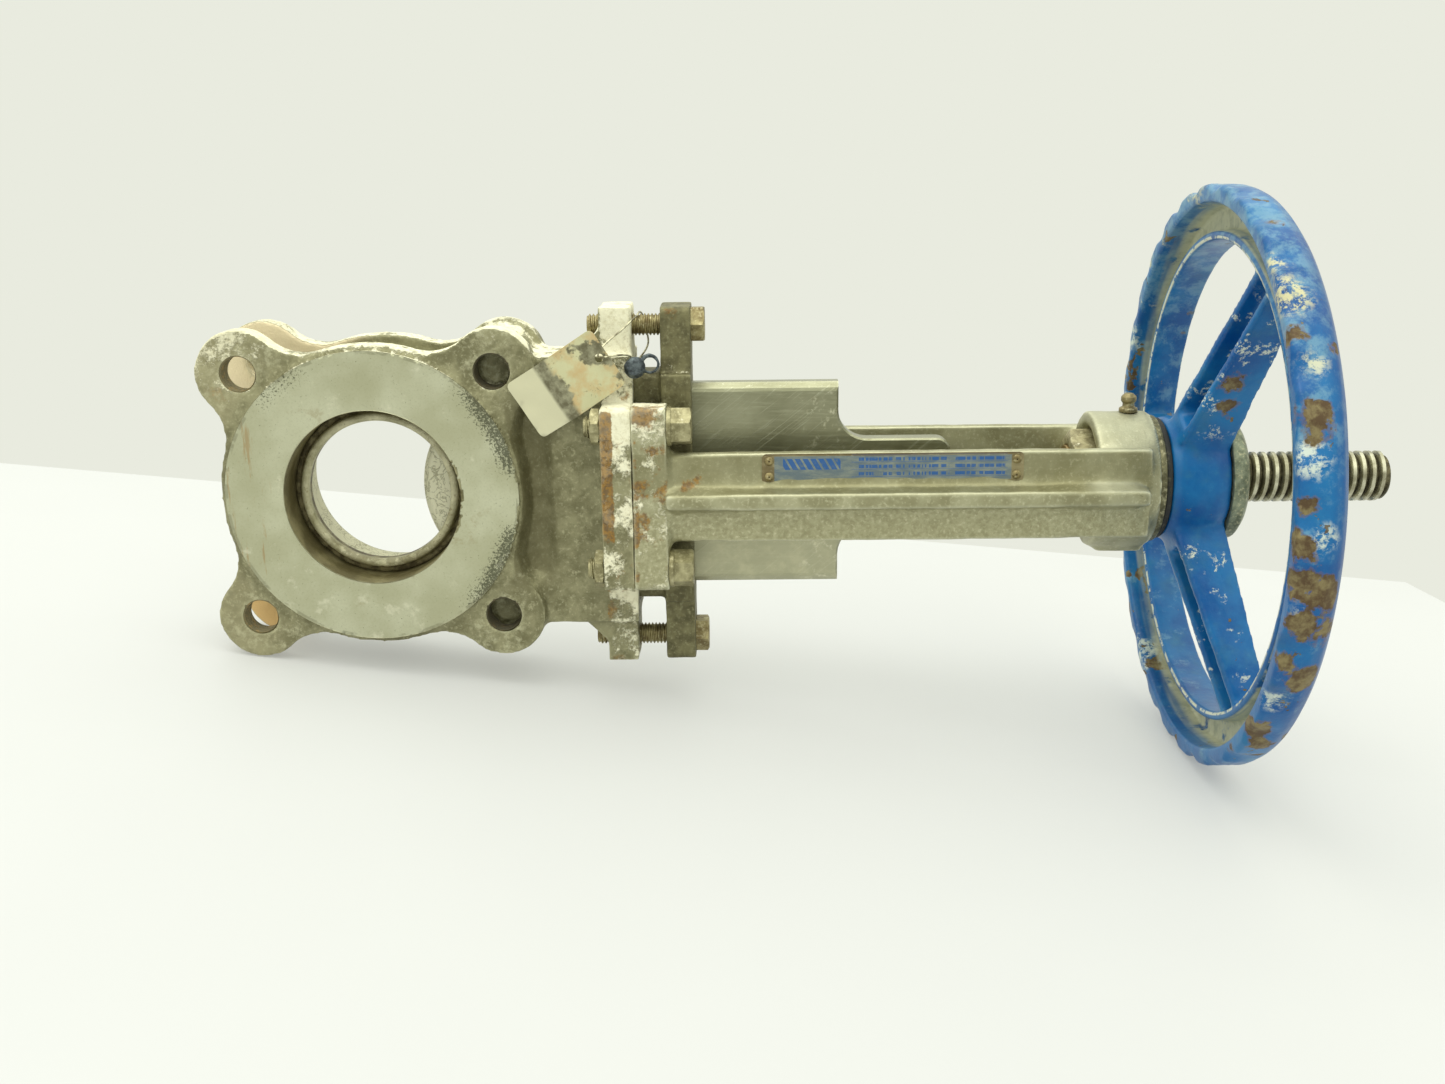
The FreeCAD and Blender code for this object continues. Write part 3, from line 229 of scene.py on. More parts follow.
def crusted(paint, colour, amount, size=11.0):
    """Adds a pale mineral crust where amount is high; returns colour and crust."""
    ragged = paint.noise(size, 8, 0.68, shift=2)
    flecks = paint.noise(1.3, 3, 0.6, shift=6)
    crust = (ragged + flecks * 0.4 + amount - 0.39).step(0.54, 0.7)
    shade = paint.noise(2.6, 5, 0.7, shift=22).step(0.44, 0.7)
    return paint.mix(crust, colour, paint.mix(shade * 0.6, CREAM, tone(190, 182, 146))), crust


def rusted(paint, colour, amount, shift=3):
    ragged = paint.noise(5, 7, 0.7, shift=shift)
    patch = (ragged + amount - 0.3).step(0.54, 0.74)
    rust = paint.mix(paint.noise(2.2, 5, 0.65, shift=4).step(0.42, 0.58), BROWN, RUST)
    return paint.mix(patch * 0.85, colour, rust), patch


def grain(paint, size=0.9, depth=0.2):
    """Fine as-cast surface height, in mm."""
    return paint.noise(size, 3, 0.6, shift=5) * depth + paint.noise(7, 3, 0.5) * (depth * 1.6)


# Lime and rust in thick spots: x, y, z, inner and outer radius in mm, and strength.
BODY_LIME = (
    (-66, -23, 64, 14, 34, 0.34), (58, -20, 74, 10, 26, 0.2), (-66, -23, -58, 8, 30, 0.2),
    (60, -23, -60, 8, 26, 0.16), (107, 0, 76, 14, 26, 0.3), (104, -37, 36, 6, 22, 0.2),
)
BODY_RUST = ((-64, -25, 46, 3, 12, 0.5), (-60, -23, -54, 3, 12, 0.2))
GLAND_RUST = ((130, -13, 76, 2, 7, 0.55), (133, -13, -64, 2, 9, 0.3))
FOOT_RUST = ((116, -37, 38, 3, 13, 0.3), (115, -37, -10, 2, 10, 0.3))
ARM_RUST = ((137, -34, 10, 3, 13, 0.44), (137, -38, -10, 3, 13, 0.46))


def veined(paint, pale):
    """Pale lime crossed by fine, darker veins."""
    veins = paint.noise(7, 4, 0.6, shift=24, twist=1.5).band(0.49, 0.51, 0.02)
    return paint.coat(pale, veins * 0.7, 140, 136, 108)


def body_skin(paint, side):
    """The body's cast metal under lime and rust, with painted shade in the recess behind the lugs.
    """
    cast = mottled(paint, tone(112, 109, 78), tone(148, 145, 112), tone(178, 175, 142))
    # Painted shade: the cast colour darkened in the recess between the lugs and the chest.
    recess_shade = paint.x.step(30, 44) * paint.nz.step(0.5, 0.2) * abs(paint.z).step(46, 38)
    recess_shade = recess_shade * paint.most(side.step(18.6, 17.4), side.step(23.6, 23.2))
    cast = paint.coat(cast, recess_shade * paint.x.step(84, 72) * 0.6, 90, 85, 54)
    upward = paint.nz.step(0.0, 0.9)
    high = paint.z.step(8, 62)
    crust = upward * high * 0.42 + high * 0.04 - 0.08 + paint.spots(BODY_LIME)
    crust = crust + paint.x.step(98.5, 101) * (paint.noise(13, 5, 0.6, shift=7) - 0.08) * 0.8
    colour, crusty = crusted(paint, cast, crust)
    rust = paint.spots(BODY_RUST)
    rust = rust + paint.x.step(97, 100) * (paint.noise(13, 5, 0.6, shift=21) - 0.16) * 1.05
    streak = paint.x.band(99, 104.5, 1.5) * paint.z.band(-14, 36, 10) * paint.y.step(-36, -36.8)
    colour, rusty = rusted(paint, colour, rust + streak * 0.34 - 0.12)
    return colour, crusty, rusty


def machined_face(paint, radius, rings):
    """Satin steel of the flange faces: lathe rings, dark specks, brown runs and scuffs."""
    satin = paint.mix(paint.noise(26, 3, 0.5, shift=9).step(0.35, 0.7),
                      tone(176, 176, 146), tone(196, 197, 170))
    satin = paint.coat(satin, rings.step(0.45, 0.75) * 0.25, 160, 159, 128)
    right = paint.x.step(30, 50) * (paint.z.band(16, 44, 12) + paint.z.band(-46, -18, 10))
    arcs = (right + paint.spot(-36, -25, 50, 6, 20) * 0.5) * radius.step(53, 61)
    speckle = (paint.noise(1.1, 4, 0.8, shift=11) + arcs * 0.22).step(0.62, 0.7)
    satin = paint.coat(satin, speckle * 0.85, 78, 80, 62)
    inner = paint.noise(13, 6, 0.7, shift=12).step(0.6, 0.72) * radius.step(60, 42)
    satin = paint.coat(satin, inner * 0.35, 140, 122, 80)
    runs = paint.noise(2.6, 4, 0.7, stretch=(1, 1, 0.1), shift=19) * paint.x.step(-30, -44)
    satin = paint.coat(satin, runs.step(0.56, 0.66) * 0.5, 158, 122, 70)
    scuffs = paint.noise(12, 6, 0.7, shift=20) + paint.z.step(0, -60) * 0.06
    satin = paint.coat(satin, scuffs.step(0.6, 0.72) * 0.5, 222, 220, 196)
    edge_line = radius.band(62.3, 63.6, 0.4) * paint.noise(9, 4, 0.6, shift=23).step(0.48, 0.56)
    return paint.coat(satin, edge_line * 0.35, 96, 92, 70)


def bore_wall(paint):
    """Grime and painted shade on the wall of the front bore, and lime on the rear one."""
    # Darker on the front bore's wall: grime, and painted shade of the recess.
    front_grime_and_shade = paint.mix(paint.noise(14, 5, 0.55, shift=13).step(0.4, 0.66), tone(108, 100, 66),
                     tone(146, 138, 100))
    return paint.mix(paint.y.step(2, 8) * 0.85, front_grime_and_shade, veined(paint, tone(212, 210, 182)))


def lug_dust_and_light(paint, colour, radius):
    """Dust and stains on the lugs, and painted light on the rear lug plate's front face, between
    the two plates.
    """
    lugs = radius.step(66, 72) * paint.x.step(66, 60)
    dust = paint.noise(4.5, 6, 0.7, shift=28).step(0.48, 0.68)
    colour = paint.coat(colour, lugs * dust * 0.6, 196, 194, 162)
    dark = paint.noise(11, 6, 0.66, shift=29).step(0.56, 0.68)
    colour = paint.coat(colour, lugs * dark * 0.25, 92, 94, 76)
    colour = paint.coat(colour, lugs * paint.x.step(-30, -60) * 0.3, 184, 176, 140)
    # Painted light: the front face of the rear lug plate, between the plates, coloured as if lit
    # warm and pale.
    lit = paint.y.band(10, 16, 1.5) * paint.ny.step(-0.5, -0.9) * radius.step(62, 66)
    painted_glow = paint.mix(paint.z.step(-20, 20), tone(230, 192, 130), tone(242, 226, 190))
    return paint.mix(lit * paint.x.step(0, -20) * 0.9, colour, painted_glow)


def body_material():
    paint = Paint("cast_body")
    radius = paint.length(paint.x, paint.z)
    side = abs(paint.y)
    colour, crusty, rusty = body_skin(paint, side)
    machined = side.step(25.2, 25.33) * radius.band(38.4, 63.3, 0.3)
    rings = paint.noise(1.1, 2, 0.7, shift=8)
    colour = paint.mix(machined, colour, machined_face(paint, radius, rings))
    wall = side.step(25.3, 25.0) * radius.step(39.2, 38.6)
    colour = lug_dust_and_light(paint, paint.mix(wall, colour, bore_wall(paint)), radius)
    # Pale convex edges: edge wear, partly a painted highlight.
    edges = paint.wear(0.51, 0.58) * (1.0 - machined)
    colour = paint.coat(colour, edges * 0.4, 196, 194, 160)
    rough = paint.blend(machined, crusty * 0.3 + 0.52, rings * 0.16 + 0.24)
    metal = paint.blend(machined, (1.0 - crusty) * 0.45, 0.85) * (1.0 - rusty * 0.8)
    lathe = paint.math("SINE", radius * 12.0) * 0.004
    height = paint.blend(machined, grain(paint) + crusty * 0.35, lathe + rings * 0.02)
    return paint.finish(colour, rough, metal, height)


def gland_material():
    paint = Paint("cast_gland")
    cast = mottled(paint, tone(84, 80, 52), tone(120, 116, 82), tone(150, 147, 112), 7)
    crust = paint.nz.step(0.2, 0.9) * paint.z.step(30, 52) * 0.1
    crust = crust + paint.spot(131, -12, 56, 3, 12) * 0.22 - 0.1
    colour, crusty = crusted(paint, cast, crust, 7)
    colour, _ = rusted(paint, colour, paint.spots(GLAND_RUST) - 0.16)
    # Pale convex edges: edge wear, partly a painted highlight.
    colour = paint.coat(colour, paint.wear() * 0.35, 176, 172, 136)
    rough = crusty * 0.3 + paint.noise(3, 3) * 0.2 + 0.45
    return paint.finish(colour, rough, (1.0 - crusty) * 0.45, grain(paint, 0.8, 0.16))


def yoke_material():
    paint = Paint("cast_yoke")
    cast = mottled(paint, tone(140, 137, 104), tone(170, 168, 136), tone(200, 198, 166), 16)
    lower = paint.z.step(-3, -6) * paint.y.step(-31, -31.8)
    rough_cast = mottled(paint, tone(150, 147, 113), tone(177, 174, 140), tone(208, 205, 171), 2.2)
    colour = paint.mix(lower * 0.8, cast, rough_cast)
    # Painted shade on the front faces of the arms, above the rib.
    shade = paint.z.band(2.6, 20, 0.4) * paint.y.step(-31, -31.8)
    colour = paint.coat(colour, shade * 0.45, 120, 116, 80)
    foot = paint.x.step(129.5, 127)
    crust = foot * (paint.noise(16, 2, shift=7) - 0.1) * 0.75 - 0.1
    crust = crust + paint.spot(120, -37, 38, 4, 20) * 0.16 + paint.nz.step(0.5, 1.0) * 0.1
    colour, crusty = crusted(paint, colour, crust)
    rust = foot * paint.spots(FOOT_RUST)
    rust = rust + foot * (paint.noise(13, 5, 0.6, shift=21) - 0.13) * 1.05
    rust = rust + paint.spots(ARM_RUST)
    joint = paint.x.band(113, 115, 1.2) * paint.noise(9, 2, shift=20).step(0.42, 0.6)
    drips = abs(paint.z - 3.0).step(8, 2) * paint.y.step(-30, -32)
    drips = drips * (paint.noise(26, 2, shift=25) - 0.3) * 0.75
    colour, rusty = rusted(paint, colour, rust + joint * 0.3 + drips - 0.14)
    # Painted light: the upward faces of the hub lightened as if lit from above.
    hub_top_light = paint.x.step(300, 312) * paint.nz.step(0.3, 0.9)
    colour = paint.coat(colour, hub_top_light * 0.5, 196, 196, 172)
    seam = paint.noise(3.2, 5, 0.7, shift=14).step(0.66, 0.72)
    colour = paint.coat(colour, seam * 0.5 * (1.0 - foot), 96, 90, 60)
    # Pale convex edges: edge wear, partly a painted highlight.
    colour = paint.coat(colour, paint.wear(0.51, 0.57) * 0.75, 222, 222, 194)
    rough = crusty * 0.25 + paint.noise(2, 3) * 0.2 + 0.34
    metal = (1.0 - crusty) * 0.6 * (1.0 - rusty * 0.7)
    height = grain(paint, 0.8, 0.1) + lower * paint.noise(0.9, 2, 0.6, shift=15) * 0.25
    return paint.finish(colour, rough, metal, height + crusty * 0.3)


def gate_material():
    paint = Paint("brushed_gate")
    brush = paint.noise(2.0, 5, 0.7, stretch=(0.12, 1, 1.6), shift=1)
    cloud = paint.noise(34, 4, 0.55, shift=2)
    steel = paint.mix(cloud.step(0.32, 0.68), tone(126, 126, 100), tone(156, 156, 130))
    steel = paint.coat(steel, brush.step(0.45, 0.72) * 0.35, 184, 184, 158)
    slant = paint.scratches(0.7, 22, 38, shift=3).step(0.56, 0.7)
    steel = paint.coat(steel, slant * 0.35, 196, 196, 172)
    low = paint.z.step(6, -24)
    steel = paint.coat(steel, low * 0.6, 188, 186, 154)
    cream = paint.noise(9, 7, 0.68, shift=6).step(0.42, 0.68)
    steel = paint.coat(steel, cream * low * 0.4, 204, 202, 168)
    nose = paint.x.step(52, 44)
    steel = paint.mix(nose * 0.9, steel, veined(paint, tone(222, 220, 194)))
    dirt = paint.noise(11, 6, 0.68, shift=4).step(0.6, 0.74)
    steel = paint.coat(steel, dirt * (1.0 - low) * 0.35, 110, 102, 70)
    stain = paint.x.band(190, 201, 7) * paint.noise(5, 5, 0.7, shift=5).step(0.54, 0.7)
    steel = paint.mix(stain * 0.55, steel, CREAM)
    edge = paint.math("MAXIMUM", abs(paint.z).step(44.2, 45.0), paint.x.step(201.2, 201.9)
                      * abs(paint.z).step(24, 28))
    steel = paint.coat(steel, edge * 0.3, 160, 160, 140)
    rough = brush * 0.25 + dirt * 0.2 + 0.2
    return paint.finish(steel, rough + nose * 0.4, 0.8 - nose * 0.6 - low * 0.3,
                        brush * 0.05 + slant * 0.03)


def stem_material():
    paint = Paint("stem_steel")
    radius = paint.length(paint.y, paint.z)
    wear = paint.noise(6, 4, 0.6, shift=1)
    crest = paint.mix(wear.step(0.35, 0.7), tone(146, 142, 118), tone(200, 198, 174))
    root = paint.mix(paint.noise(3, 4, 0.7, shift=2).step(0.4, 0.65), tone(80, 75, 56),
                     tone(118, 112, 86))
    colour = paint.mix(radius.step(9.0, 10.9), root, crest)
    colour, rusty = rusted(paint, colour, paint.noise(30, 2, shift=5) * 0.25 - 0.2)
    rough = radius.step(10.7, 9.0) * 0.4 + wear * 0.1 + 0.18
    return paint.finish(colour, rough, 0.85 - rusty * 0.5, paint.noise(0.7, 2) * 0.03)


def plated_material(name, dark, light, crust_amount, rust_amount, metal=0.55):
    """Zinc-plated fastener, weathered; crust and rust amounts shift how much shows."""
    paint = Paint(name)
    colour = mottled(paint, dark, light, tone(206, 200, 162), 5)
    top = paint.nz.step(0.1, 0.9) * 0.12
    colour, crusty = crusted(paint, colour, top + crust_amount, 4)
    colour, rusty = rusted(paint, colour, rust_amount, shift=9)
    rough = paint.noise(2, 4) * 0.3 + crusty * 0.2 + 0.3
    return paint.finish(colour, rough, (1.0 - crusty) * (1.0 - rusty) * metal,
                        grain(paint, 0.7, 0.1))


# Worn places on the handwheel at rest: x, y, z of the middle and the radius, in mm.
BARE_RIM = (
    (366, -117, 48, 6.2), (366, -120, 42, 2.9), (361, -102, 76, 3.7), (378, -104, 72, 2.9),
    (366, -56, 114, 1.7), (363, -126, 16, 2.9), (360, -127, 2, 6.0), (363, -126, -12, 6.3),
    (372, -126, -17, 6.7), (365, -124, -29, 6.1), (375, -123, -32, 4.9), (362, -119, -45, 3.8),
    (370, -115, -53, 6.0), (360, -97, -81, 6.1), (367, -90, -90, 4.5), (356, -78, -100, 4.6),
)
CHALKED_RIM = (
    (362, -90, 89, 8.2), (360, -77, 101, 4.6), (355, -55, 115, 3.4), (364, -122, 34, 6.4),
    (369, -127, 5, 4.7), (363, -109, -65, 5.1), (364, -125, -24, 2.6), (367, -108, 66, 4.7),
)
BARE_SPOKES = (
    (362, -71, 72, 4.3), (362, -38, 48, 4.6), (362, -30, 38, 4.7), (362, -19, 26, 4.3),
    (362, -54, 37, 2.5), (362, -69, -61, 1.5), (362, -68, -66, 1.9), (362, -83, -44, 2.4),
)


def enamel(paint, radius, fade):
    """The blue itself: faded, grimy, washed pale near the top, deep on the rim's outer side."""
    blue = paint.mix(fade.step(0.3, 0.7), tone(3, 74, 140), tone(22, 108, 166))
    blue = paint.coat(blue, paint.noise(4, 4, 0.6, shift=2).step(0.55, 0.8) * 0.3, 70, 136, 170)
    grime = paint.noise(17, 5, 0.65, shift=3).step(0.5, 0.72)
    blue = paint.coat(blue, grime * 0.3, 64, 112, 116)
    wash = (paint.noise(9, 7, 0.7, shift=27) + paint.z.step(-40, 110) * 0.1).step(0.52, 0.72)
    blue = paint.coat(blue, wash * radius.step(96, 106) * 0.45, 134, 176, 190)
    return paint.coat(blue, paint.x.step(369, 379) * radius.step(112, 118) * 0.6, 2, 60, 128)


def chalk_places(paint, outside, away, wobble):
    """1 where the outside of the rim is scuffed to pale chalk."""
    chalk_map = paint.noise(20, 3, 0.55, shift=4).step(0.54, 0.62) * away
    zone = paint.most(paint.patches(CHALKED_RIM, wobble * 0.7).step(3, -3), chalk_map)
    scuff = paint.noise(4, 7, 0.75, shift=5).step(0.46, 0.56)
    hatch = paint.noise(1.6, 3, 0.7, stretch=(0.4, 1, 1), shift=6).step(0.56, 0.62)
    return zone * outside * paint.most(scuff, hatch * 0.6)


def pale_marks(paint, blue, radius, chalk):
    """The chalk on the rim, the ticks and the line on its lips, and flecks on the spokes."""
    pale = paint.mix(paint.z.step(50, 80), tone(214, 222, 206), tone(222, 214, 160))
    blue = paint.mix(chalk * 0.8, blue, pale)
    ticks = radius.band(111.6, 112.6, 0.3) * paint.nx.step(0.5, 0.9)
    ticks = ticks * paint.noise(2.4, 2, 0.6, shift=18).step(0.5, 0.56)
    lip = radius.band(104.2, 105.0, 0.4) * paint.noise(5, 3, 0.6, shift=19).step(0.42, 0.5)
    blue = paint.coat(blue, paint.most(ticks, lip * 0.8), 222, 222, 190)
    spokes = (paint.noise(12, 3, 0.6, shift=7) + paint.z.step(0, 60) * 0.04).step(0.57, 0.63)
    flecks = paint.noise(2, 5, 0.75, shift=8).step(0.5, 0.58)
    spokes = spokes * radius.step(30, 38) * flecks * radius.step(100, 90)
    return paint.coat(blue, spokes * 0.8, 218, 222, 200)


def bare_places(paint, radius, outside, away, wobble):
    """Where the wheel is worn to bare metal, and the worn places a little wider."""
    low = paint.z.step(-40, -110) * 0.1
    far_map = paint.noise(14, 6, 0.58, shift=10, twist=0.5) + low - (1.0 - away) * 0.08
    inside = radius.step(112, 96)
    small = paint.noise(11, 6, 0.62, shift=11)
    rim_wear = paint.patches(BARE_RIM, wobble)
    spoke_wear = paint.patches(BARE_SPOKES, wobble)
    bare = paint.most(far_map.step(0.635, 0.65) * outside, rim_wear.step(0.4, -0.4) * outside,
                      spoke_wear.step(0.4, -0.4) * inside,
                      small.step(0.665, 0.675) * paint.most(inside, outside * 0.9))
    halo = paint.most(rim_wear.step(1.6, 0.6) * outside, spoke_wear.step(1.6, 0.6) * inside)
    return bare, halo


def primer_in_groove(paint, radius):
    """The colour of the primer, 1 in the rim's groove, and 1 where primer shows there."""
    groove = radius.band(107.4, 118.6, 0.5) * paint.x.step(374.5, 373.9)
    groove = groove * paint.nx.step(0.2, -0.2)
    patchy = (paint.noise(15, 5, 0.6, shift=13) + paint.z.step(40, -40) * 0.02).step(0.36, 0.44)
    primer = paint.mix(paint.noise(6, 5, 0.6, shift=14).step(0.4, 0.7), tone(198, 199, 172),
                       tone(168, 172, 148))
    dots = paint.noise(2.6, 3, 0.6, shift=15).step(0.7, 0.74)
    return paint.coat(primer, dots * 0.6, 104, 98, 70), groove, groove * patchy


def blue_material():
    """Blue enamel over pale primer, worn to brown metal on the near and lower rim."""
    paint = Paint("blue_enamel")
    radius = paint.length(paint.y, paint.z)
    fade = paint.noise(30, 5, 0.6, shift=1)
    outside = radius.step(116, 119)
    wobble = (paint.noise(7, 6, 0.62, shift=26) - 0.5) * 16.0
    away = paint.y.step(-10, 40)
    chalk = chalk_places(paint, outside, away, wobble)
    bare, halo = bare_places(paint, radius, outside, away, wobble)
    metal_tone = paint.mix(paint.noise(5, 6, 0.65, shift=12).step(0.38, 0.66),
                           tone(88, 70, 48), tone(134, 122, 86))
    primer, groove, primed = primer_in_groove(paint, radius)
    blue = pale_marks(paint, enamel(paint, radius, fade), radius, chalk)
    blue = paint.coat(blue, halo * 0.35, 124, 84, 56)
    colour = paint.mix(primed, paint.mix(bare, blue, metal_tone), primer)
    worn = paint.wear(0.53, 0.58) * paint.noise(7, 4, 0.6, shift=16).step(0.52, 0.6)
    colour = paint.coat(colour, worn * 0.6 * (1.0 - groove), 148, 130, 96)
    paint.shader.inputs["Specular IOR Level"].default_value = 0.3
    rough = bare * 0.2 + chalk * 0.25 + fade * 0.1 + primed * 0.2 + 0.26
    height = (1.0 - bare) * 0.14 + chalk * 0.04 + paint.noise(6, 4, 0.5, shift=17) * 0.22
    return paint.finish(colour, rough, bare * 0.3, height + paint.noise(1.1, 2) * 0.05)


def bronze_material():
    paint = Paint("turned_bronze")
    colour = mottled(paint, tone(120, 98, 58), tone(158, 132, 84), tone(190, 168, 118), 6)
    return paint.finish(colour, paint.noise(3, 3) * 0.2 + 0.3, 0.8, grain(paint, 0.6, 0.05))


def seat_material():
    """Pale seat ring, darker at its root and low on the ring: wrinkled grime, and painted shade of
    the recess.
    """
    paint = Paint("seat_ring")
    radius = paint.length(paint.x, paint.z)
    cloud = paint.noise(9, 6, 0.62, shift=1)
    pale = paint.mix(cloud.step(0.3, 0.7), tone(150, 146, 112), tone(212, 208, 176))
    pale = paint.coat(pale, paint.noise(2.2, 4, 0.7, shift=2).step(0.54, 0.7) * 0.6, 110, 96, 62)
    # Darker at the root and low on the ring: grime, and painted shade of the recess.
    root = paint.math("MAXIMUM", radius.step(34.6, 35.6), paint.y.step(-9.6, -8.2))
    wrinkle_grime_and_shade = paint.noise(4, 6, 0.7, shift=3)
    dark = paint.mix(wrinkle_grime_and_shade.step(0.4, 0.62), tone(84, 76, 50), tone(136, 128, 94))
    low = paint.z.step(-14, -30) * wrinkle_grime_and_shade.step(0.4, 0.5)
    colour = paint.mix(paint.math("MAXIMUM", root, low * 0.55), pale, dark)
    height = wrinkle_grime_and_shade * 0.8 + paint.noise(1.2, 3) * 0.15
    return paint.finish(colour, cloud * 0.3 + 0.4, 0.25, height)


def packing_material():
    paint = Paint("braided_packing")
    braid = paint.math("SINE", paint.z * 2.4 + paint.x * 2.0)
    braid = braid * paint.math("SINE", paint.z * 2.4 - paint.x * 2.0)
    colour = paint.mix(braid.step(-0.5, 0.6), tone(120, 114, 84), tone(206, 200, 172))
    return paint.finish(colour, 0.85, 0.0, braid * 0.25)


def rubber_material():
    paint = Paint("dust_rubber")
    dust = paint.noise(4, 5, 0.7, shift=1)
    colour = paint.mix(dust.step(0.5, 0.72), tone(30, 30, 26), tone(84, 82, 62))
    return paint.finish(colour, dust * 0.3 + 0.5, 0.0, paint.noise(0.9, 3) * 0.08)


def nameplate_material():
    """Bronze-grey plate with a plain blue block and rows of illegible blue dashes."""
    paint = Paint("nameplate_print")
    low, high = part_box("nameplate")
    left, right = low.x / MM, high.x / MM
    bottom, top = low.z / MM, high.z / MM
    metal = paint.mix(paint.noise(7, 5, 0.6, stretch=(0.3, 1, 1)).step(0.35, 0.7),
                      tone(112, 98, 66), tone(150, 140, 104))
    metal = paint.coat(metal, paint.noise(1.4, 3, 0.7, shift=2).step(0.55, 0.7) * 0.5,
                       176, 168, 132)
    front = paint.ny.step(-0.6, -0.9)
    panel = paint.x.band(left + 5.5, right - 5.5, 0.6) * paint.z.band(bottom + 1.2, top - 1.2, 0.4)
    wash = paint.mix(paint.noise(3, 5, 0.7, stretch=(0.3, 1, 1), shift=6).step(0.4, 0.66),
                     tone(98, 118, 130), tone(138, 148, 140))
    metal = paint.mix(panel * front * 0.85, metal, wash)
    blue = paint.mix(paint.noise(2, 4, 0.7, shift=3).step(0.3, 0.5), tone(90, 110, 128),
                     tone(38, 92, 158))
    bar = paint.x.band(left + 9, left + 33, 0.3) * paint.z.band(bottom + 6.0, top - 2.2, 0.2)
    stripes = paint.math("SINE", paint.x * 1.9 + paint.z * 1.1).step(-0.75, -0.45)
    rows = paint.math("SINE", (paint.z - bottom) * 2.0).step(-0.1, 0.35)
    rows = rows * paint.z.band(bottom + 1.8, top - 1.8, 0.1)
    dashes = paint.noise(1.1, 1, 0.4, stretch=(1, 1, 0.02), shift=4).step(0.42, 0.5)
    runs = paint.noise(9, 1, 0.4, stretch=(1, 1, 0.6), shift=5).step(0.34, 0.4)
    printed = rows * dashes * runs * paint.x.band(left + 39, right - 8, 0.3)
    rules = (paint.math("SINE", (paint.z - bottom) * 2.0 + 2.4).step(0.93, 0.99)
             * paint.x.band(left + 38, right - 7, 0.3))
    ink = paint.most(bar * stripes, printed, rules * 0.6) * front
    colour = paint.mix(ink * 0.9, metal, blue)
    border = paint.math("MAXIMUM", paint.z.step(top - 0.9, top - 0.3),
                        paint.z.step(bottom + 0.9, bottom + 0.3))
    colour = paint.coat(colour, border * 0.6, 86, 72, 44)
    return paint.finish(colour, 0.42, 0.5, paint.noise(4, 3) * 0.1)


def tag_material():
    """Thin metal tag, tan and cream with deposit, bright on its short leg."""
    paint = Paint("tag_plate")
    along = ((paint.x - TAG_PLACE.x) * math.cos(TAG_TURN)
             + (paint.z - TAG_PLACE.z) * math.sin(TAG_TURN))
    steel = paint.mix(paint.noise(5, 5, 0.65, shift=1).step(0.35, 0.7), tone(106, 102, 78),
                      tone(166, 164, 136))
    painted_glow = paint.mix(paint.noise(9, 4, 0.6, shift=2).step(0.38, 0.62), tone(190, 168, 120),
                     tone(192, 190, 150))
    cover = (paint.noise(10, 6, 0.62, shift=3) + along.band(6, 18, 5) * 0.12).step(0.5, 0.56)
    cover = cover * along.step(0.5, 3.0)
    colour = paint.mix(cover, steel, painted_glow)
    colour, _ = rusted(paint, colour, along.band(2, 20, 4) * 0.14 - 0.16)
    bright = along.step(-3.0, -5.0) * paint.noise(16, 2, shift=4).step(0.3, 0.46)
    colour = paint.coat(colour, bright, 208, 205, 172)
    specks = paint.noise(1.0, 3, 0.75, shift=5).step(0.58, 0.66)
    specks = specks * paint.noise(8, 3, 0.6, shift=6).step(0.5, 0.6)
    colour = paint.coat(colour, specks * (1.0 - bright) * 0.6, 96, 92, 68)
    rough = cover * 0.3 + 0.3
    return paint.finish(colour, rough, (1.0 - cover) * (1.0 - bright) * 0.6,
                        paint.noise(8, 4) * 0.35 + cover * 0.05)


def lead_material():
    paint = Paint("lead_seal")
    dull = paint.noise(2.2, 5, 0.65, shift=1)
    colour = paint.mix(dull.step(0.35, 0.7), tone(50, 56, 60), tone(104, 114, 118))
    colour = paint.coat(colour, dull.step(0.68, 0.78) * 0.6, 158, 164, 160)
    return paint.finish(colour, dull * 0.2 + 0.32, 0.6, dull * 0.3)


def wire_material():
    paint = Paint("tie_wire")
    colour = paint.mix(paint.noise(4, 4, 0.6).step(0.4, 0.6), tone(120, 114, 90),
                       tone(214, 210, 180))
    return paint.finish(colour, paint.noise(2, 2) * 0.2 + 0.3, 0.7, paint.noise(0.6, 2) * 0.05)


# ---- meshes ----

def add_object(name, data):
    item = bpy.data.objects.new(name, data)
    bpy.context.scene.collection.objects.link(item)
    return item


def repaint(piece, material):
    piece.data.materials.clear()
    piece.data.materials.append(material)


def new_piece(name, mesh, material, body, *replaced, slot=None, sharp=35):
    """Makes a mesh into a piece of the object: shaded, painted and riding on a body."""
    mesh.shade_smooth()
    mesh.set_sharp_from_angle(angle=math.radians(sharp))
    piece = add_object(name, mesh)
    repaint(piece, material)
    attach(piece, body)
    if replaced:
        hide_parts(*replaced)
    return piece


def mesh_from(name, points, faces):
    """A clean mesh from points in mm: doubles merged, no empty faces, normals outward."""
    mesh = bpy.data.meshes.new(name)
    mesh.from_pydata((np.asarray(points, float) * MM).tolist(), [], faces)
    work = bmesh.new()
    work.from_mesh(mesh)
    bmesh.ops.remove_doubles(work, verts=work.verts, dist=1e-6)
    bmesh.ops.dissolve_degenerate(work, edges=work.edges, dist=1e-6)
    loose = [vert for vert in work.verts if not vert.link_faces]
    bmesh.ops.delete(work, geom=loose, context="VERTS")
    bmesh.ops.recalc_face_normals(work, faces=work.faces)
    work.to_mesh(mesh)
    work.free()
    return mesh


def joined(name, meshes):
    """One mesh holding several."""
    work = bmesh.new()
    for mesh in meshes:
        work.from_mesh(mesh)
    result = bpy.data.meshes.new(name)
    work.to_mesh(result)
    work.free()
    return result


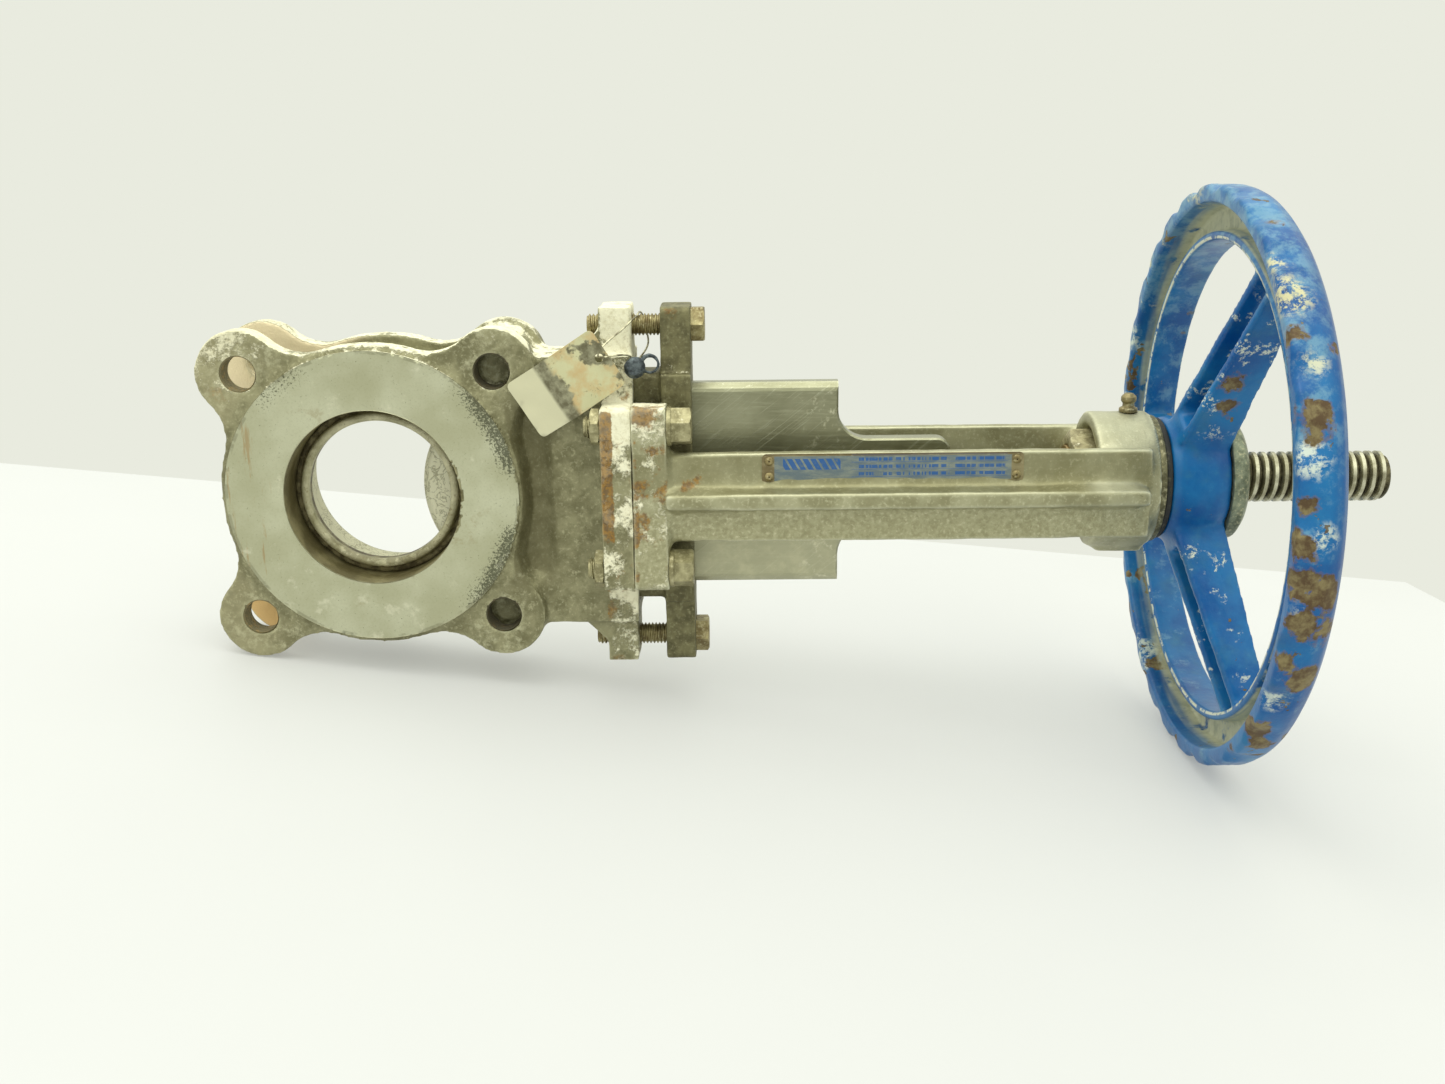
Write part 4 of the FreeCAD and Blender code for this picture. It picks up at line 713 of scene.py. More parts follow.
def placed(axis, along, across, up):
    """Points along an axis of the frame, from its length and the two offsets across it."""
    if axis == "X":
        return np.stack([along, across, up], axis=-1)
    if axis == "Y":
        return np.stack([across, along, up], axis=-1)
    return np.stack([across, up, along], axis=-1)


def loft(name, rows, axis="X", centre=(0, 0, 0), close=False, turn=0.0):
    """Rings of radii joined in order: rows of (along, radius or radii per step)."""
    steps = max(np.size(radius) for _, radius in rows)
    angles = 2 * math.pi * np.arange(steps) / steps + turn
    rings = []
    for along, radius in rows:
        radius = np.broadcast_to(np.asarray(radius, float), (steps,))
        along = np.broadcast_to(np.asarray(along, float), (steps,))
        rings.append(placed(axis, along, radius * np.cos(angles), radius * np.sin(angles)))
    points = np.concatenate(rings) + np.asarray(centre, float)
    faces = []
    count = len(rows)
    for row in range(count if close else count - 1):
        below, above = row * steps, ((row + 1) % count) * steps
        for step in range(steps):
            following = (step + 1) % steps
            faces.append((below + step, below + following, above + following, above + step))
    if not close:
        faces.append(tuple(range(steps)))
        faces.append(tuple(range((count - 1) * steps, count * steps)))
    return mesh_from(name, points, faces)


def rounded(profile, radius, steps=3):
    """A closed (along, radius) outline with its corners rounded."""
    points = [Vector(point) for point in profile]
    result = []
    for index, corner in enumerate(points):
        before = points[index - 1] - corner
        after = points[(index + 1) % len(points)] - corner
        reach = min(radius, before.length * 0.45, after.length * 0.45)
        start = corner + before.normalized() * reach
        end = corner + after.normalized() * reach
        for step in range(steps + 1):
            part = step / steps
            here = start.lerp(corner, part).lerp(corner.lerp(end, part), part)
            result.append((here.x, here.y))
    return result


def turned(name, profile, steps=96, edge=0.5, axis="X", centre=(0, 0, 0)):
    """A turned ring from a closed outline, with its edges broken."""
    rows = [(along, np.full(steps, radius)) for along, radius in rounded(profile, edge)]
    return loft(name, rows, axis, centre, close=True)


def turned_piece(name, profile, material, body, node, slot, **shape):
    """A turned ring that takes the place of a CAD node."""
    new_piece(name, turned(name, profile, **shape), material, body, node, slot=slot)


HEX_STEPS = 96


def hex_radii(across_corners):
    angles = 2 * math.pi * np.arange(HEX_STEPS) / HEX_STEPS
    flat = across_corners * math.cos(math.pi / 6)
    return flat / np.cos(np.mod(angles, math.pi / 3) - math.pi / 6)


def hex_rows(corner, start, end, chamfer_start=False):
    """Rows of a hexagonal prism, its corners cut by a 30 degree cone at one end or both."""
    radii = hex_radii(corner)
    circle = corner * math.cos(math.pi / 6) * 0.97
    narrow = np.minimum(radii, circle)
    drop = np.maximum(radii - circle, 0.0) * math.tan(math.radians(30))
    if chamfer_start:
        rows = [(start, narrow), (start + drop, radii)]
    else:
        rows = [(start, radii)]
    return rows + [(end - drop, radii), (end, narrow)]


def hex_solid(name, corner, start, end, axis, centre, turn=0.0):
    """A bolt head, faintly crowned on top."""
    rows = hex_rows(corner, start, end) + [(end + 0.05, corner * 0.6)]
    return loft(name, rows, axis, centre, turn=turn)


def hex_ring(name, corner, bore, start, end, axis, centre, turn=0.0):
    """A nut: chamfered hexagon with a countersunk hole."""
    rows = hex_rows(corner, start, end, chamfer_start=True)
    rows += [(end, bore + 0.6), (end - 0.7, bore), (start + 0.7, bore), (start, bore + 0.6)]
    return loft(name, rows, axis, centre, close=True, turn=turn)


def thread(name, start, end, outer, inner, pitch, axis="X", centre=(0, 0, 0), hand=1,
           steps=40, chamfer=0.0, crest=0.2, closed=True):
    """A helical thread between two ends; hand is 1 for right and -1 for left."""
    low_flat = pitch * (0.5 - crest) * 0.5
    outline = [(0.0, inner), (low_flat, inner), (pitch * (0.5 - crest * 0.5), outer),
               (pitch * (0.5 + crest * 0.5), outer), (pitch - low_flat, inner)]
    turns = int(math.ceil((end - start) / pitch)) + 2
    points = []
    for number in range(turns * steps + 1):
        angle = 2 * math.pi * number / steps
        advance = start - pitch + pitch * number / steps
        for along, radius in outline:
            place = min(max(advance + along, start), end)
            limit = outer - chamfer + min(end - place, place - start)
            reach = min(radius, max(limit, inner * 0.9)) if chamfer else radius
            points.append((place, reach * math.cos(angle), hand * reach * math.sin(angle)))
    width = len(outline)
    faces = []
    for number in range(turns * steps):
        for column in range(width):
            here = number * width + column
            after = here + 1 if column < width - 1 else (number + steps) * width
            if after + width < len(points):
                faces.append((here, after, after + width, here + width))
    spots = np.array(points)
    spots = placed(axis, spots[:, 0], spots[:, 1], spots[:, 2]) + np.asarray(centre, float)
    mesh = mesh_from(name, spots, faces)
    if not closed:
        return mesh
    core = [(start, inner * 0.98), (end, inner * 0.98)]
    rod = loft(f"{name}_core", [(along, np.full(steps, radius)) for along, radius in core],
               axis, centre)
    return joined(name, [mesh, rod])


# ---- castings from the CAD nodes ----

FACE = 25.4
FACE_RADIUS = 63.5
BORE_RADIUS = 38.1
LUG_HOLE_RADIUS = 7.94
LUG_PLACES = [(x, z) for x in (-53.88, 53.88) for z in (-53.88, 53.88)]
HUB_FACE = 338.0

SLOT_HALF = 5.2
SLOT_HEIGHT = 45.7
NUT_START = 303.6
NUT_END = 316.6
NUT_SWING = 22.7


def remeshed(node, voxel):
    """A copy of a CAD node's mesh as even quads of about voxel mm."""
    source = NODES[node].data.copy()
    holder = add_object(f"{node}_remesh", source)
    modifier = holder.modifiers.new("remesh", "REMESH")
    modifier.mode = "VOXEL"
    modifier.voxel_size = voxel * MM
    graph = bpy.context.evaluated_depsgraph_get()
    mesh = bpy.data.meshes.new_from_object(holder.evaluated_get(graph))
    bpy.data.objects.remove(holder)
    bpy.data.meshes.remove(source)
    return mesh


def coordinates(mesh):
    flat = np.empty(len(mesh.vertices) * 3)
    mesh.vertices.foreach_get("co", flat)
    return flat.reshape(-1, 3) / MM


def store(mesh, points):
    mesh.vertices.foreach_set("co", (points * MM).ravel())
    mesh.update()


def normals_of(mesh):
    flat = np.empty(len(mesh.vertices) * 3)
    mesh.vertices.foreach_get("normal", flat)
    return flat.reshape(-1, 3)


def edge_pairs(mesh):
    pairs = np.empty(len(mesh.edges) * 2, np.int32)
    mesh.edges.foreach_get("vertices", pairs)
    return pairs.reshape(-1, 2)


def pulls(points, edges, degree):
    """From each point to the middle of its neighbours."""
    count = len(points)
    total = np.stack([
        np.bincount(edges[:, 0], points[edges[:, 1], axis], count)
        + np.bincount(edges[:, 1], points[edges[:, 0], axis], count)
        for axis in range(3)
    ], axis=1)
    return total / degree - points


def soften(mesh, even, fill):
    """Rounds every edge a little, then fills inside corners only, like a cast fillet."""
    edges = edge_pairs(mesh)
    degree = np.bincount(edges.ravel(), minlength=len(mesh.vertices))[:, None]
    points = coordinates(mesh)
    for number in range(even + fill):
        pull = pulls(points, edges, degree)
        if number < even:
            points = points + pull * 0.5
            continue
        if (number - even) % 8 == 0:
            store(mesh, points)
            normal = normals_of(mesh)
        outward = np.einsum("ij,ij->i", pull, normal)[:, None]
        points = points + normal * np.clip(outward, 0.0, None) * 0.9
    store(mesh, points)


def flow(mesh, rounds, where, rounding=0.0):
    """Fills the inside corners of one region further, to wide fillets.

    where gives each point's share, 0 to 1; rounding eases the outside corners too.
    """
    edges = edge_pairs(mesh)
    points = coordinates(mesh)
    share = where(points)
    edges = edges[(share[edges] > 0).any(axis=1)]
    chosen, local = np.unique(edges, return_inverse=True)
    local = local.reshape(-1, 2)
    degree = np.bincount(local.ravel())[:, None]
    part, weight = points[chosen], share[chosen][:, None]
    for number in range(rounds):
        if number % 12 == 0:
            points[chosen] = part
            store(mesh, points)
            normal = normals_of(mesh)[chosen]
        pull = pulls(part, local, degree)
        outward = np.einsum("ij,ij->i", pull, normal)[:, None]
        part = part + (normal * np.clip(outward, 0.0, None) * 0.9 + pull * rounding) * weight
    points[chosen] = part
    store(mesh, points)


def roughen(mesh, keep, coarse=0.12, fine=0.05):
    """Moves points along their normals by smooth noise, less where keep is near 1."""
    points = coordinates(mesh)
    normal = normals_of(mesh)
    shift = np.array([
        coarse * noise.noise(Vector(point) / 9.0) + fine * noise.noise(Vector(point) / 1.9)
        for point in points
    ])
    store(mesh, points + normal * (shift * (1.0 - keep(points)))[:, None])


def nowhere(points):
    return np.zeros(len(points))


def flatten(points, column, level, reach):
    """Snaps points near a machined plane on to it."""
    near = np.abs(points[:, column] - level) < reach
    points[near, column] = level


def snap_round(points, columns, centre, radius, reach, where):
    """Snaps points near a bored or turned wall on to its true radius."""
    offset = points[:, columns] - np.asarray(centre, float)
    distance = np.hypot(offset[:, 0], offset[:, 1])
    near = (np.abs(distance - radius) < reach) & where
    points[np.ix_(near, columns)] = (
        np.asarray(centre, float) + offset[near] * (radius / distance[near])[:, None]
    )


def ramp(values, low, high):
    """0 at low, 1 at high, straight between them; low may be the larger one."""
    return np.clip((values - low) / (high - low), 0.0, 1.0)


def chest_recess(points):
    """1 where the walls of the chest rise out of the recess between the lugs and the plate."""
    return (ramp(points[:, 0], 28, 40) * ramp(points[:, 0], 94, 88)
            * ramp(np.abs(points[:, 2]), 46, 40))


def yoke_roots(points):
    """1 at the feet and at the hub, where the arms flow into them."""
    foot = ramp(points[:, 0], 156, 144) * ramp(np.abs(points[:, 2]), 25, 20)
    return np.maximum(foot, ramp(points[:, 0], 290, 302))


def rib_roots(points):
    """1 along the arms where the ribs rise out of them."""
    return ramp(points[:, 0], 140, 152) * ramp(points[:, 0], 306, 296) * ramp(
        np.abs(points[:, 2]), 12, 8) * (np.abs(points[:, 1]) > 30)


def slot_walls(points):
    """True on the walls of the gate's slot, clear of its mouth in the bore."""
    radius = np.hypot(points[:, 0], points[:, 2])
    outline = (radius < SLOT_HEIGHT + 0.8) | (
        (points[:, 0] > 0) & (np.abs(points[:, 2]) < SLOT_HEIGHT + 0.8))
    return (outline & (radius > 39.2) & (np.abs(points[:, 1]) < SLOT_HALF + 0.5)
            & (points[:, 0] < 74.0))


def body_casting():
    mesh = remeshed("valve_body", 1.0)
    cut = coordinates(mesh)
    slot = slot_walls(cut)
    soften(mesh, 2, 20)
    flow(mesh, 110, chest_recess, 0.08)

    def machined(points):
        radius = np.hypot(points[:, 0], points[:, 2])
        face = (np.abs(points[:, 1]) > 24.9) & (radius < 63.8)
        return (face | (radius < 38.6)).astype(float)

    roughen(mesh, machined, 0.25, 0.07)
    points = coordinates(mesh)
    points[slot] = cut[slot]
    radius = np.hypot(points[:, 0], points[:, 2])
    side = np.abs(points[:, 1])
    for level in (-FACE, FACE):
        flatten(points, 1, level, 0.75)
    snap_round(points, [0, 2], (0, 0), BORE_RADIUS, 0.9, side < 25.5)
    snap_round(points, [0, 2], (0, 0), FACE_RADIUS, 0.7, side > 23.9)
    for place in LUG_PLACES:
        snap_round(points, [0, 2], place, LUG_HOLE_RADIUS, 0.7, (side > 9.5) & (radius > 60))
    store(mesh, points)
    return new_piece("body_casting", mesh, body_material(), "base", "valve_body",
                     slot="cast_body", sharp=50)


def yoke_casting():
    mesh = remeshed("yoke", 0.9)
    soften(mesh, 2, 14)
    flow(mesh, 160, yoke_roots, 0.02)
    flow(mesh, 50, rib_roots)
    roughen(mesh, lambda points: (points[:, 0] > HUB_FACE - 1.0).astype(float), 0.22, 0.05)
    points = coordinates(mesh)
    flatten(points, 0, HUB_FACE, 0.6)
    swing = np.hypot(points[:, 1], points[:, 2])
    near_nut = (points[:, 0] > NUT_START - 1.2) & (points[:, 0] < NUT_END + 0.8)
    fouled = near_nut & (swing < NUT_SWING)
    points[np.ix_(fouled, [1, 2])] *= (NUT_SWING / swing[fouled])[:, None]
    store(mesh, points)
    return new_piece("yoke_casting", mesh, yoke_material(), "base", "yoke",
                     slot="cast_yoke", sharp=60)


def gland_casting():
    mesh = remeshed("packing_gland", 0.75)
    soften(mesh, 2, 12)
    roughen(mesh, lambda points: (points[:, 0] < 124.0).astype(float), 0.2, 0.06)
    return new_piece("gland_casting", mesh, gland_material(), "base", "packing_gland",
                     slot="cast_body", sharp=60)


# ---- fasteners ----

BOLT = 4.76
BOLT_ROOT = 4.0
BOLT_PITCH = 1.588
BOLT_STEPS = 48
HEX_CORNER = 8.25
NUT_BORE = 4.85


def bolt_along_x(name, y, z, tail, head_start, head_end, threads, turn):
    """A hex bolt along the stem axis: head, plain or threaded shank, and end."""
    centre = (0, y, z)
    parts = [hex_solid(f"{name}_head", HEX_CORNER, head_start, head_end, "X", centre, turn=turn)]
    parts.append(thread(f"{name}_thread", tail, threads, BOLT, BOLT_ROOT, BOLT_PITCH, "X",
                        centre, chamfer=0.9))
    radii = np.full(BOLT_STEPS, BOLT - 0.1)
    parts.append(loft(f"{name}_shank", [(threads - 0.2, radii), (head_start, radii)], "X",
                      centre))
    return joined(name, parts)


def gland_bolts():
    zinc = plated_material("zinc_gland", tone(112, 98, 62), tone(170, 160, 116), -0.02, -0.04)
    pair = [
        bolt_along_x(f"gland_bolt_{side}", 0, side * 70.5, 93.0, 138.05, 144.0, 126.0, side)
        for side in (-1, 1)
    ]
    new_piece("gland_bolt_pair", joined("gland_bolts", pair), zinc, "base", "gland_bolts",
              slot="plated_steel")


def yoke_bolts(zinc):
    """Four bolts through the feet, with a spring washer and a nut on each."""
    bolts, washers, nuts = [], [], []
    ring = [(128.0, 4.9), (128.0, 8.3), (130.0, 8.3), (130.0, 4.9)]
    for y in (-30, 30):
        for z in (-31, 31):
            twist = 0.4 + y * 0.01 + z * 0.02
            bolts.append(bolt_along_x("yoke_bolt", y, z, 93.0, 130.0, 138.5, 112.0, twist))
            washers.append(turned("washer", ring, 64, 0.3, "X", (0, y, z)))
            nuts.append(hex_ring("nut", HEX_CORNER, NUT_BORE, 95.8, 100.0, "X", (0, y, z),
                                 twist))
    for name, meshes, node in (("yoke_bolt_set", bolts, "yoke_bolts"),
                               ("yoke_washer_set", washers, "yoke_lock_washers"),
                               ("yoke_nut_set", nuts, "yoke_nuts")):
        new_piece(name, joined(node, meshes), zinc, "base", node, slot="plated_steel")


def fork_bolts(zinc):
    """Two bolts and nuts through the stem's fork and the gate's neck."""
    bolts, nuts = [], []
    for x in (226.0, 242.0):
        centre = (x, 0, 0)
        bolts.append(hex_solid("fork_head", HEX_CORNER, 12.0, 18.0, "Y", centre, turn=x))
        bolts[-1].transform(Matrix.Scale(-1, 4, (0, 1, 0)))
        bolts[-1].flip_normals()
        radii = np.full(BOLT_STEPS, BOLT)
        bolts.append(loft("fork_shank", [(-12.0, radii), (12.0, radii)], "Y", centre))
        bolts.append(thread("fork_thread", 11.8, 20.5, BOLT, BOLT_ROOT, BOLT_PITCH, "Y",
                            centre, chamfer=0.9))
        nuts.append(hex_ring("fork_nut", HEX_CORNER, NUT_BORE, 12.0, 19.0, "Y", centre, x))
    for name, meshes, node in (("fork_bolt_pair", bolts, "fork_bolts"),
                               ("fork_nut_pair", nuts, "fork_nuts")):
        new_piece(name, joined(node, meshes), zinc, "gate_assembly", node,
                  slot="plated_steel")


def tapped_material():
    """The threads in the lug holes: pale in the through holes, with painted shade darkening the
    blind ones.
    """
    paint = Paint("tapped_wall")
    colour = paint.mix(paint.y.step(-22, 8), tone(122, 114, 84), tone(222, 212, 180))
    colour = paint.mix(paint.noise(3, 5, 0.65, shift=1).step(0.5, 0.66) * 0.4, colour,
                       tone(196, 158, 92))
    # Painted shade: the threads in the blind holes darkened.
    colour = paint.mix(paint.x.step(20, 40) * 0.75, colour, tone(50, 48, 34))
    return paint.finish(colour, 0.55, 0.4, paint.noise(1.2, 3) * 0.1)


def lug_threads():
    """Tapped threads inside the flange holes, on the front and rear lugs."""
    threads = []
    for x, z in LUG_PLACES:
        depth = 13.1 if x < 0 else 9.0
        for start, end in ((-22.4, -depth), (depth, 22.4)):
            threads.append(thread("lug_thread", start, end, 7.98, 7.4, 2.31, "Y", (x, 0, z),
                                  steps=48, crest=0.3, closed=False))
    new_piece("lug_hole_threads", joined("lug_threads", threads), tapped_material(), "base",
              slot="cast_body")


# ---- stem, drive and hub ----

def stem_pieces():
    material = stem_material()
    mesh = thread("stem_thread", 262.0, 443.6, 11.11, 8.75, 4.2333, "X", hand=-1, steps=64,
                  chamfer=2.0, crest=0.36)
    new_piece("stem_thread", mesh, material, "gate_assembly", "stem", slot="stem_steel")
    fork = remeshed("stem", 0.7)
    work = bmesh.new()
    work.from_mesh(fork)
    bmesh.ops.bisect_plane(work, geom=work.verts[:] + work.edges[:] + work.faces[:],
                           plane_co=(0.2645, 0, 0), plane_no=(1, 0, 0), clear_outer=True)
    rim = [edge for edge in work.edges if edge.is_boundary]
    bmesh.ops.holes_fill(work, edges=rim)
    work.to_mesh(fork)
    work.free()
    soften(fork, 2, 4)
    new_piece("stem_fork", fork, plated_material("fork_steel", tone(96, 92, 70),
              tone(150, 146, 118), -0.1, -0.06), "gate_assembly", slot="stem_steel", sharp=60)


def drive_sleeve(bronze):
    """The flanged sleeve, the thread round its end and its countersunk mouth."""
    body = [(302.6, 11.2), (302.6, 15.0), (316.65, 15.0), (316.65, 16.4), (341.0, 16.4),
            (341.0, 22.0), (343.8, 22.0), (343.8, 16.0), (369.2, 16.0), (369.2, 14.9),
            (371.0, 14.9), (371.0, 11.2)]
    end = [(370.9, 11.2), (370.9, 14.2), (379.4, 14.2), (379.4, 12.4), (378.4, 11.2)]
    sleeve = turned("sleeve", body, edge=0.3)
    tail = thread("sleeve_thread", 370.8, 379.4, 14.95, 14.1, 1.5, "X", steps=64, chamfer=0.8,
                  closed=False)
    mouth = turned("sleeve_mouth", end, edge=0.2)
    new_piece("drive_sleeve", joined("sleeve", [sleeve, tail, mouth]), bronze, "drive",
              "stem_nut", slot="bronze")


def drive_nuts():
    """The lock nut in the hub's pocket and the round nut outside the wheel."""
    grey = plated_material("locknut_steel", tone(120, 112, 78), tone(176, 168, 130), 0.02,
                           -0.04)
    locknut = hex_ring("locknut", 22.0, 15.05, NUT_START, NUT_END, "X", (0, 0, 0), 0.35)
    new_piece("sleeve_locknut", locknut, grey, "drive", "stem_locknut", slot="plated_steel")
    galvanised = plated_material("galvanised", tone(88, 96, 78), tone(140, 147, 124), -0.02,
                                 -0.16, 0.6)
    nut = [(369.6, 15.1), (369.6, 27.0), (374.8, 27.0), (377.3, 23.5), (378.8, 18.2),
           (378.8, 15.6), (378.2, 15.1)]
    turned_piece("wheel_nut", nut, galvanised, "drive", "handwheel_nut", "plated_steel",
                 steps=128, edge=0.8)


def hub_rings(bronze):
    """The two thrust washers, the dust seal and the key's steel."""
    dark_steel = plated_material("washer_steel", tone(82, 78, 54), tone(128, 124, 92), -0.16,
                                 -0.1)
    inner = [(316.7, 16.6), (316.7, 21.0), (318.5, 21.0), (318.5, 16.6)]
    turned_piece("inner_washer", inner, bronze, "base", "thrust_washer_inner", "bronze",
                 edge=0.3)
    outer = [(338.0, 16.6), (338.0, 28.0), (340.95, 28.0), (340.95, 16.6)]
    turned_piece("outer_washer", outer, dark_steel, "base", "thrust_washer_outer",
                 "plated_steel", steps=128, edge=0.7)
    seal = [(341.0, 22.2), (341.0, 26.8), (343.7, 26.8), (343.7, 22.2)]
    turned_piece("rubber_seal", seal, rubber_material(), "base", "dust_seal", "black_rubber",
                 steps=128, edge=0.9)
    repaint(NODES["handwheel_key"], dark_steel)


def grease_nipple():
    outline = [(22.0, 0.4), (22.0, 2.4), (29.8, 2.4), (29.8, 4.0), (31.5, 4.0), (32.3, 2.6),
               (33.7, 2.5), (34.7, 3.3), (36.5, 3.3), (38.1, 1.8), (38.1, 0.6), (37.2, 0.4)]
    brown = plated_material("nipple_steel", tone(92, 84, 58), tone(142, 130, 92), -0.08, -0.02)
    turned_piece("nipple", outline, brown, "base", "grease_nipple", "bronze", steps=48,
                 edge=0.35, axis="Z", centre=(329.5, 0, 0))


# ---- handwheel ----

RIM_STEPS = 720


def rim_mesh():
    """The rim: a grooved section turned round the stem, scalloped at its outer lip."""
    section = [
        (359.5, 125.6), (359.5, 119.5), (366.0, 119.0), (373.5, 118.5), (373.5, 108.0),
        (369.0, 107.6), (365.0, 107.3), (365.0, 103.6), (381.0, 103.6), (381.0, 116.0),
        (379.5, 120.5), (376.5, 124.5), (372.0, 126.7), (366.0, 127.0), (361.0, 127.0),
    ]
    outline = rounded(section, 1.6, 3)
    angles = 2 * math.pi * np.arange(RIM_STEPS) / RIM_STEPS
    grips = angles * 30 / (2 * math.pi)
    phase = np.abs(np.mod(grips + 0.5, 1.0) - 0.5)
    swell = np.cos(2 * math.pi * phase)
    rows = []
    for along, radius in outline:
        depth = np.clip((371.5 - along) / 12.0, 0.0, 1.0)
        outer = np.clip((radius - 121.0) / 4.0, 0.0, 1.0)
        scoop = 2.4 * depth * outer * np.clip(0.25 + 0.75 * swell, 0.0, None)
        uneven = 0.25 * np.sin(angles * 3 + along) + 0.15 * np.sin(angles * 11 + radius)
        rows.append((np.full(RIM_STEPS, along), radius - scoop - np.abs(uneven) * 0.5))
    return loft("rim", rows, "X", close=True, turn=math.pi / 2)


def wheel_middle():
    """Hub and spokes, remeshed from the CAD wheel so that they flow into each other."""
    mesh = remeshed("handwheel", 0.8)
    work = bmesh.new()
    work.from_mesh(mesh)
    outside = [
        vert for vert in work.verts if math.hypot(vert.co.y, vert.co.z) > 0.1062
    ]
    bmesh.ops.delete(work, geom=outside, context="VERTS")
    work.to_mesh(mesh)
    work.free()
    soften(mesh, 6, 40)
    roughen(mesh, nowhere, 0.3, 0.04)
    return mesh


def handwheel():
    blue = blue_material()
    new_piece("wheel_rim", rim_mesh(), blue, "drive", "handwheel", slot="blue_paint", sharp=50)
    new_piece("wheel_spokes", wheel_middle(), blue, "drive", slot="blue_paint", sharp=70)


# ---- seat, gate, plates and small pieces ----

def bevelled(node, material, width):
    """Keeps a CAD node, with its edges broken and a material of its own."""
    piece = NODES[node]
    repaint(piece, material)
    bevel = piece.modifiers.new("edges", "BEVEL")
    bevel.width = width * MM
    bevel.segments = 2
    bevel.limit_method = "ANGLE"
    bevel.angle_limit = math.radians(40)
    bevel.harden_normals = True


TAG_HALF_WIDTH = 13.6
TAG_THICK = 0.8
TAG_LONG_LEG = 25.2
TAG_SHORT_LEG = 19.9
TAG_CORNER = 2.4
TAG_FOLD = 4.0
TAG_HOLE = Vector((21.4, 1.5))
TAG_HOLE_RADIUS = 1.9
TAG_HOLE_MARGIN = 3.5


def tag_grid():
    """Columns and rows of the flat tag, close together at the fold and round the hole."""
    left, right = TAG_HOLE.x - TAG_HOLE_MARGIN, TAG_HOLE.x + TAG_HOLE_MARGIN
    low, high = TAG_HOLE.y - TAG_HOLE_MARGIN, TAG_HOLE.y + TAG_HOLE_MARGIN
    columns = np.concatenate([
        np.linspace(-TAG_SHORT_LEG, -3, 16), np.linspace(-2, 2, 5), np.linspace(3, left, 13),
        np.linspace(left + 1, right, 7), [TAG_LONG_LEG],
    ])
    rows = np.concatenate([
        np.linspace(-TAG_HALF_WIDTH, low, 10), np.linspace(low + 1, high - 1, 6),
        np.linspace(high, TAG_HALF_WIDTH, 9),
    ])
    return columns, rows


def tag_corner(along, across):
    """Where a grid point goes when the four corners are rounded."""
    long_reach = (TAG_LONG_LEG if along > 0 else TAG_SHORT_LEG) - TAG_CORNER
    wide_reach = TAG_HALF_WIDTH - TAG_CORNER
    over = Vector((max(abs(along) - long_reach, 0), max(abs(across) - wide_reach, 0)))
    shrink = TAG_CORNER / over.length if over.length > TAG_CORNER else 1.0
    x = math.copysign(long_reach + over.x * shrink, along) if over.x else along
    z = math.copysign(wide_reach + over.y * shrink, across) if over.y else across
    return x, z


def tag_bend(along, across):
    """Where a point of the flat tag goes when it is bent, with its dents."""
    slope = math.tan(math.radians(11 if along > 0 else 18))
    far = abs(along)
    lift = slope * (far if far > TAG_FOLD else (far * far / TAG_FOLD + TAG_FOLD) / 2)
    dent = 0.45 * noise.noise(Vector((along, across, 4)) / 9.0)
    return along * math.cos(math.atan(slope)), lift + dent, across


def loop_round(edges):
    """The points round a patch, in order, from its directed border edges."""
    following = dict(edges)
    loop = [min(following)]
    while following[loop[-1]] != loop[0]:
        loop.append(following[loop[-1]])
    return loop


def tag_faces(flat, count, width):
    """Quads of the grid, those round the hole joined to its rim; adds the rim to flat."""
    quads, patch = [], set()
    for column in range(count - 1):
        for row in range(width - 1):
            first = column * width + row
            quad = (first, first + 1, first + width + 1, first + width)
            middle = sum((Vector(flat[index]) for index in quad), Vector((0, 0))) / 4
            if max(abs(middle.x - TAG_HOLE.x), abs(middle.y - TAG_HOLE.y)) >= TAG_HOLE_MARGIN:
                quads.append(quad)
                continue
            for here, after in zip(quad, quad[1:] + quad[:1]):
                if (after, here) in patch:
                    patch.remove((after, here))
                else:
                    patch.add((here, after))
    loop = loop_round(patch)
    rim = []
    for index in loop:
        edge = TAG_HOLE + (Vector(flat[index]) - TAG_HOLE).normalized() * TAG_HOLE_RADIUS
        rim.append(len(flat))
        flat.append((edge.x, edge.y))
    for index, here in enumerate(loop):
        after = (index + 1) % len(loop)
        quads.append((here, loop[after], rim[after], rim[index]))
    return quads, rim


def tag_piece():
    """The bent tag: a thin sheet with soft corners, a wire hole and a rolled fold."""
    columns, rows = tag_grid()
    count, width = len(columns), len(rows)
    flat = [tag_corner(along, across) for along in columns for across in rows]
    quads, rim = tag_faces(flat, count, width)
    top = [tag_bend(*place) for place in flat]
    points = top + [(x, y + TAG_THICK, z) for x, y, z in top]
    layer = len(flat)
    faces = quads + [tuple(index + layer for index in reversed(quad)) for quad in quads]
    border = list(range(width))
    border += [column * width + width - 1 for column in range(1, count)]
    border += [(count - 1) * width + row for row in range(width - 2, -1, -1)]
    border += [column * width for column in range(count - 2, 0, -1)]
    for edge in (border, rim):
        for index, here in enumerate(edge):
            after = edge[(index + 1) % len(edge)]
            faces.append((here, after, after + layer, here + layer))
    mesh = mesh_from("tag", points, faces)
    turn = Matrix.Rotation(-TAG_TURN, 4, "Y")
    mesh.transform(Matrix.Translation(TAG_PLACE * MM) @ turn)
    new_piece("bent_tag", mesh, tag_material(), "base", "tag", slot="plate_metal", sharp=50)


def seat_and_gate():
    ring = [(-12.0, 31.2), (-12.0, 34.6), (-8.0, 35.0), (-8.0, 38.1), (-4.85, 38.1),
            (-4.85, 31.2)]
    turned_piece("seat_lip", ring, seat_material(), "base", "seat_ring", "seat_white",
                 steps=160, edge=1.5, axis="Y")
    bevelled("gate", gate_material(), 0.4)
    packing = packing_material()
    for number in range(1, 5):
        bevelled(f"packing_ring_{number}", packing, 0.6)


